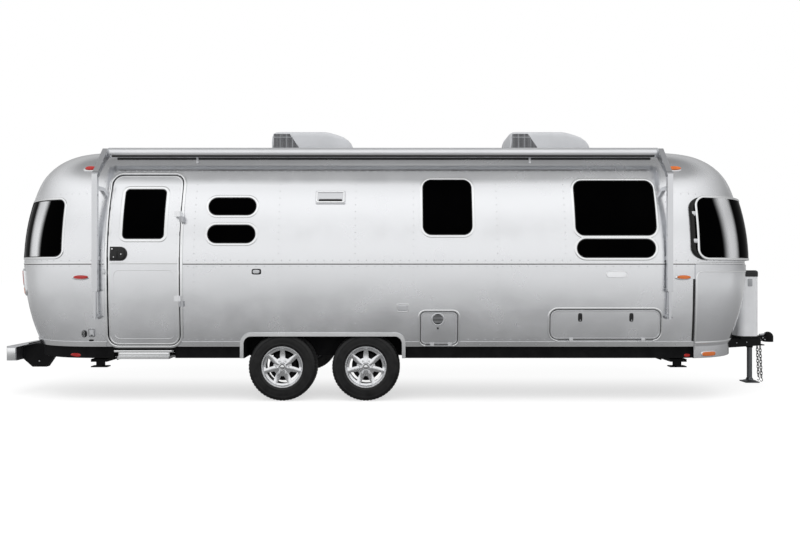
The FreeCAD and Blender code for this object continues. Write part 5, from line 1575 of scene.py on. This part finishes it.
def soft_step(tree, socket, start, end, first, last):
    """A smooth change from one value to another along an input."""
    step = tree.nodes.new("ShaderNodeMapRange")
    step.interpolation_type = "SMOOTHSTEP"
    step.inputs["From Min"].default_value = start
    step.inputs["From Max"].default_value = end
    step.inputs["To Min"].default_value = first
    step.inputs["To Max"].default_value = last
    tree.links.new(socket, step.inputs["Value"])
    return step.outputs["Result"]


def camera_switch(tree, others, seen, target):
    """One shader for camera rays and another for all the rest."""
    path = tree.nodes.new("ShaderNodeLightPath")
    mix = tree.nodes.new("ShaderNodeMixShader")
    tree.links.new(path.outputs["Is Camera Ray"], mix.inputs["Fac"])
    tree.links.new(others, mix.inputs[1])
    tree.links.new(seen, mix.inputs[2])
    tree.links.new(mix.outputs["Shader"], target)


# The sky's grey by elevation in degrees.
SKY = ((-20, 0.36), (-5, 0.68), (1, 1.02), (11, 1.06), (18, 0.90), (28, 1.12), (38, 1.24),
       (45, 0.98), (53, 0.50), (75, 0.50), (90, 0.7))


def world():
    """White to the camera; a soft studio gradient for light and reflections."""
    made = bpy.data.worlds.new("studio")
    bpy.context.scene.world = made
    made.use_nodes = True
    tree = made.node_tree
    nodes, links = tree.nodes, tree.links
    nodes.clear()
    where = nodes.new("ShaderNodeTexCoord")
    split = nodes.new("ShaderNodeSeparateXYZ")
    links.new(where.outputs["Generated"], split.inputs["Vector"])
    height = nodes.new("ShaderNodeMapRange")
    height.inputs["From Min"].default_value = -1.0
    height.inputs["From Max"].default_value = 1.0
    links.new(split.outputs["Z"], height.inputs["Value"])
    stops = [(0.5 + 0.5 * math.sin(math.radians(angle)), grey) for angle, grey in SKY]
    ramp = ramp_node(tree, stops)
    links.new(height.outputs["Result"], ramp.inputs["Fac"])
    both = nodes.new("ShaderNodeMath")
    both.operation = "MULTIPLY"
    links.new(soft_step(tree, split.outputs["Y"], -0.75, 0.75, 1.0, 0.50), both.inputs[0])
    links.new(soft_step(tree, split.outputs["X"], 0.45, 1.0, 1.0, 0.70), both.inputs[1])
    soft = nodes.new("ShaderNodeBackground")
    links.new(ramp.outputs["Color"], soft.inputs["Color"])
    links.new(both.outputs["Value"], soft.inputs["Strength"])
    white = nodes.new("ShaderNodeBackground")
    white.inputs["Color"].default_value = (1.0, 1.0, 1.0, 1.0)
    white.inputs["Strength"].default_value = 1.0
    out = nodes.new("ShaderNodeOutputWorld")
    camera_switch(tree, soft.outputs["Background"], white.outputs["Background"],
                  out.inputs["Surface"])


def floor_glow_with_painted_shade(tree, place, split):
    """What reflections see of the floor: a glow, darker near the object and on the far side, paler far
    away; the dark pool is painted shade for the object's shadow on the ground.
    """
    nodes, links = tree.nodes, tree.links
    length = nodes.new("ShaderNodeVectorMath")
    length.operation = "LENGTH"
    links.new(place.outputs["Position"], length.inputs[0])
    scale = nodes.new("ShaderNodeMath")
    scale.operation = "DIVIDE"
    scale.inputs[1].default_value = 20.0
    links.new(length.outputs["Value"], scale.inputs[0])
    ramp = ramp_node(tree, ((0.0, 0.20), (0.17, 0.25), (0.30, 0.37), (0.70, 0.66), (1.0, 0.82)))
    links.new(scale.outputs["Value"], ramp.inputs["Fac"])
    mirrored = nodes.new("ShaderNodeEmission")
    links.new(ramp.outputs["Color"], mirrored.inputs["Color"])
    links.new(soft_step(tree, split.outputs["Y"], -4.0, 4.0, 1.0, 0.70),
              mirrored.inputs["Strength"])
    return mirrored.outputs["Emission"]


def floor_seen(tree, split):
    """What the camera sees of the floor: a white glow, painted light, over a diffuse that takes the
    object's soft shadow; past the near side the glow washes the shadow out.
    """
    nodes, links = tree.nodes, tree.links
    glow = nodes.new("ShaderNodeEmission")
    glow.inputs["Color"].default_value = (0.62, 0.62, 0.62, 1.0)
    cloth = nodes.new("ShaderNodeBsdfDiffuse")
    cloth.inputs["Color"].default_value = (0.60, 0.60, 0.60, 1.0)
    seen = nodes.new("ShaderNodeAddShader")
    links.new(glow.outputs["Emission"], seen.inputs[0])
    links.new(cloth.outputs["BSDF"], seen.inputs[1])
    plain = nodes.new("ShaderNodeEmission")
    plain.inputs["Color"].default_value = (1.0, 1.0, 1.0, 1.0)
    plain.inputs["Strength"].default_value = 1.02
    # Painted light: toward the far side the plain glow replaces the shadowed floor.
    faded = nodes.new("ShaderNodeMixShader")
    links.new(soft_step(tree, split.outputs["Y"], -0.9, 0.5, 0.0, 0.85), faded.inputs["Fac"])
    links.new(seen.outputs["Shader"], faded.inputs[1])
    links.new(plain.outputs["Emission"], faded.inputs[2])
    return faded.outputs["Shader"]


def studio_floor():
    """A white floor lit by its own glow, painted light, and a little darker in reflections near the
    object, painted shade.
    """
    data = bmesh.new()
    bmesh.ops.create_grid(data, x_segments=8, y_segments=8, size=60.0)
    mesh = bpy.data.meshes.new("studio_floor")
    data.to_mesh(mesh)
    data.free()
    item = bpy.data.objects.new("studio_floor", mesh)
    bpy.context.scene.collection.objects.link(item)
    made = bpy.data.materials.new("studio_floor")
    made.use_nodes = True
    tree = made.node_tree
    tree.nodes.clear()
    place = tree.nodes.new("ShaderNodeNewGeometry")
    split = tree.nodes.new("ShaderNodeSeparateXYZ")
    tree.links.new(place.outputs["Position"], split.inputs["Vector"])
    out = tree.nodes.new("ShaderNodeOutputMaterial")
    camera_switch(tree, floor_glow_with_painted_shade(tree, place, split), floor_seen(tree, split),
                  out.inputs["Surface"])
    mesh.materials.append(made)


def softbox(name, place, target, size, watts, glossy=False):
    """A soft area light aimed at a point."""
    light = bpy.data.lights.new(name, "AREA")
    light.shape = "RECTANGLE"
    light.size, light.size_y = size
    light.energy = watts
    item = bpy.data.objects.new(name, light)
    item.location = place
    item.rotation_euler = (Vector(target) - Vector(place)).to_track_quat("-Z", "Y").to_euler()
    item.visible_camera = False
    item.visible_glossy = glossy
    bpy.context.scene.collection.objects.link(item)


def camera():
    """The photograph's eye: level, square to the side, at about chest height."""
    view = bpy.data.cameras.new("camera")
    view.sensor_width = 36.0
    view.lens = 29.9
    view.shift_y = 0.00375
    item = bpy.data.objects.new("camera", view)
    item.location = (-0.127, -8.289, 1.395)
    item.rotation_euler = (math.radians(90.0), 0.0, 0.0)
    bpy.context.scene.collection.objects.link(item)
    bpy.context.scene.camera = item


world()
studio_floor()
softbox("overhead", (0.0, -2.0, 9.0), (0.0, 0.0, 0.0), (14.0, 9.0), 420.0)
softbox("front_fill", (0.0, -10.0, 3.5), (0.0, 0.0, 1.0), (12.0, 4.0), 120.0)
camera()
bpy.context.scene.view_settings.view_transform = "Standard"
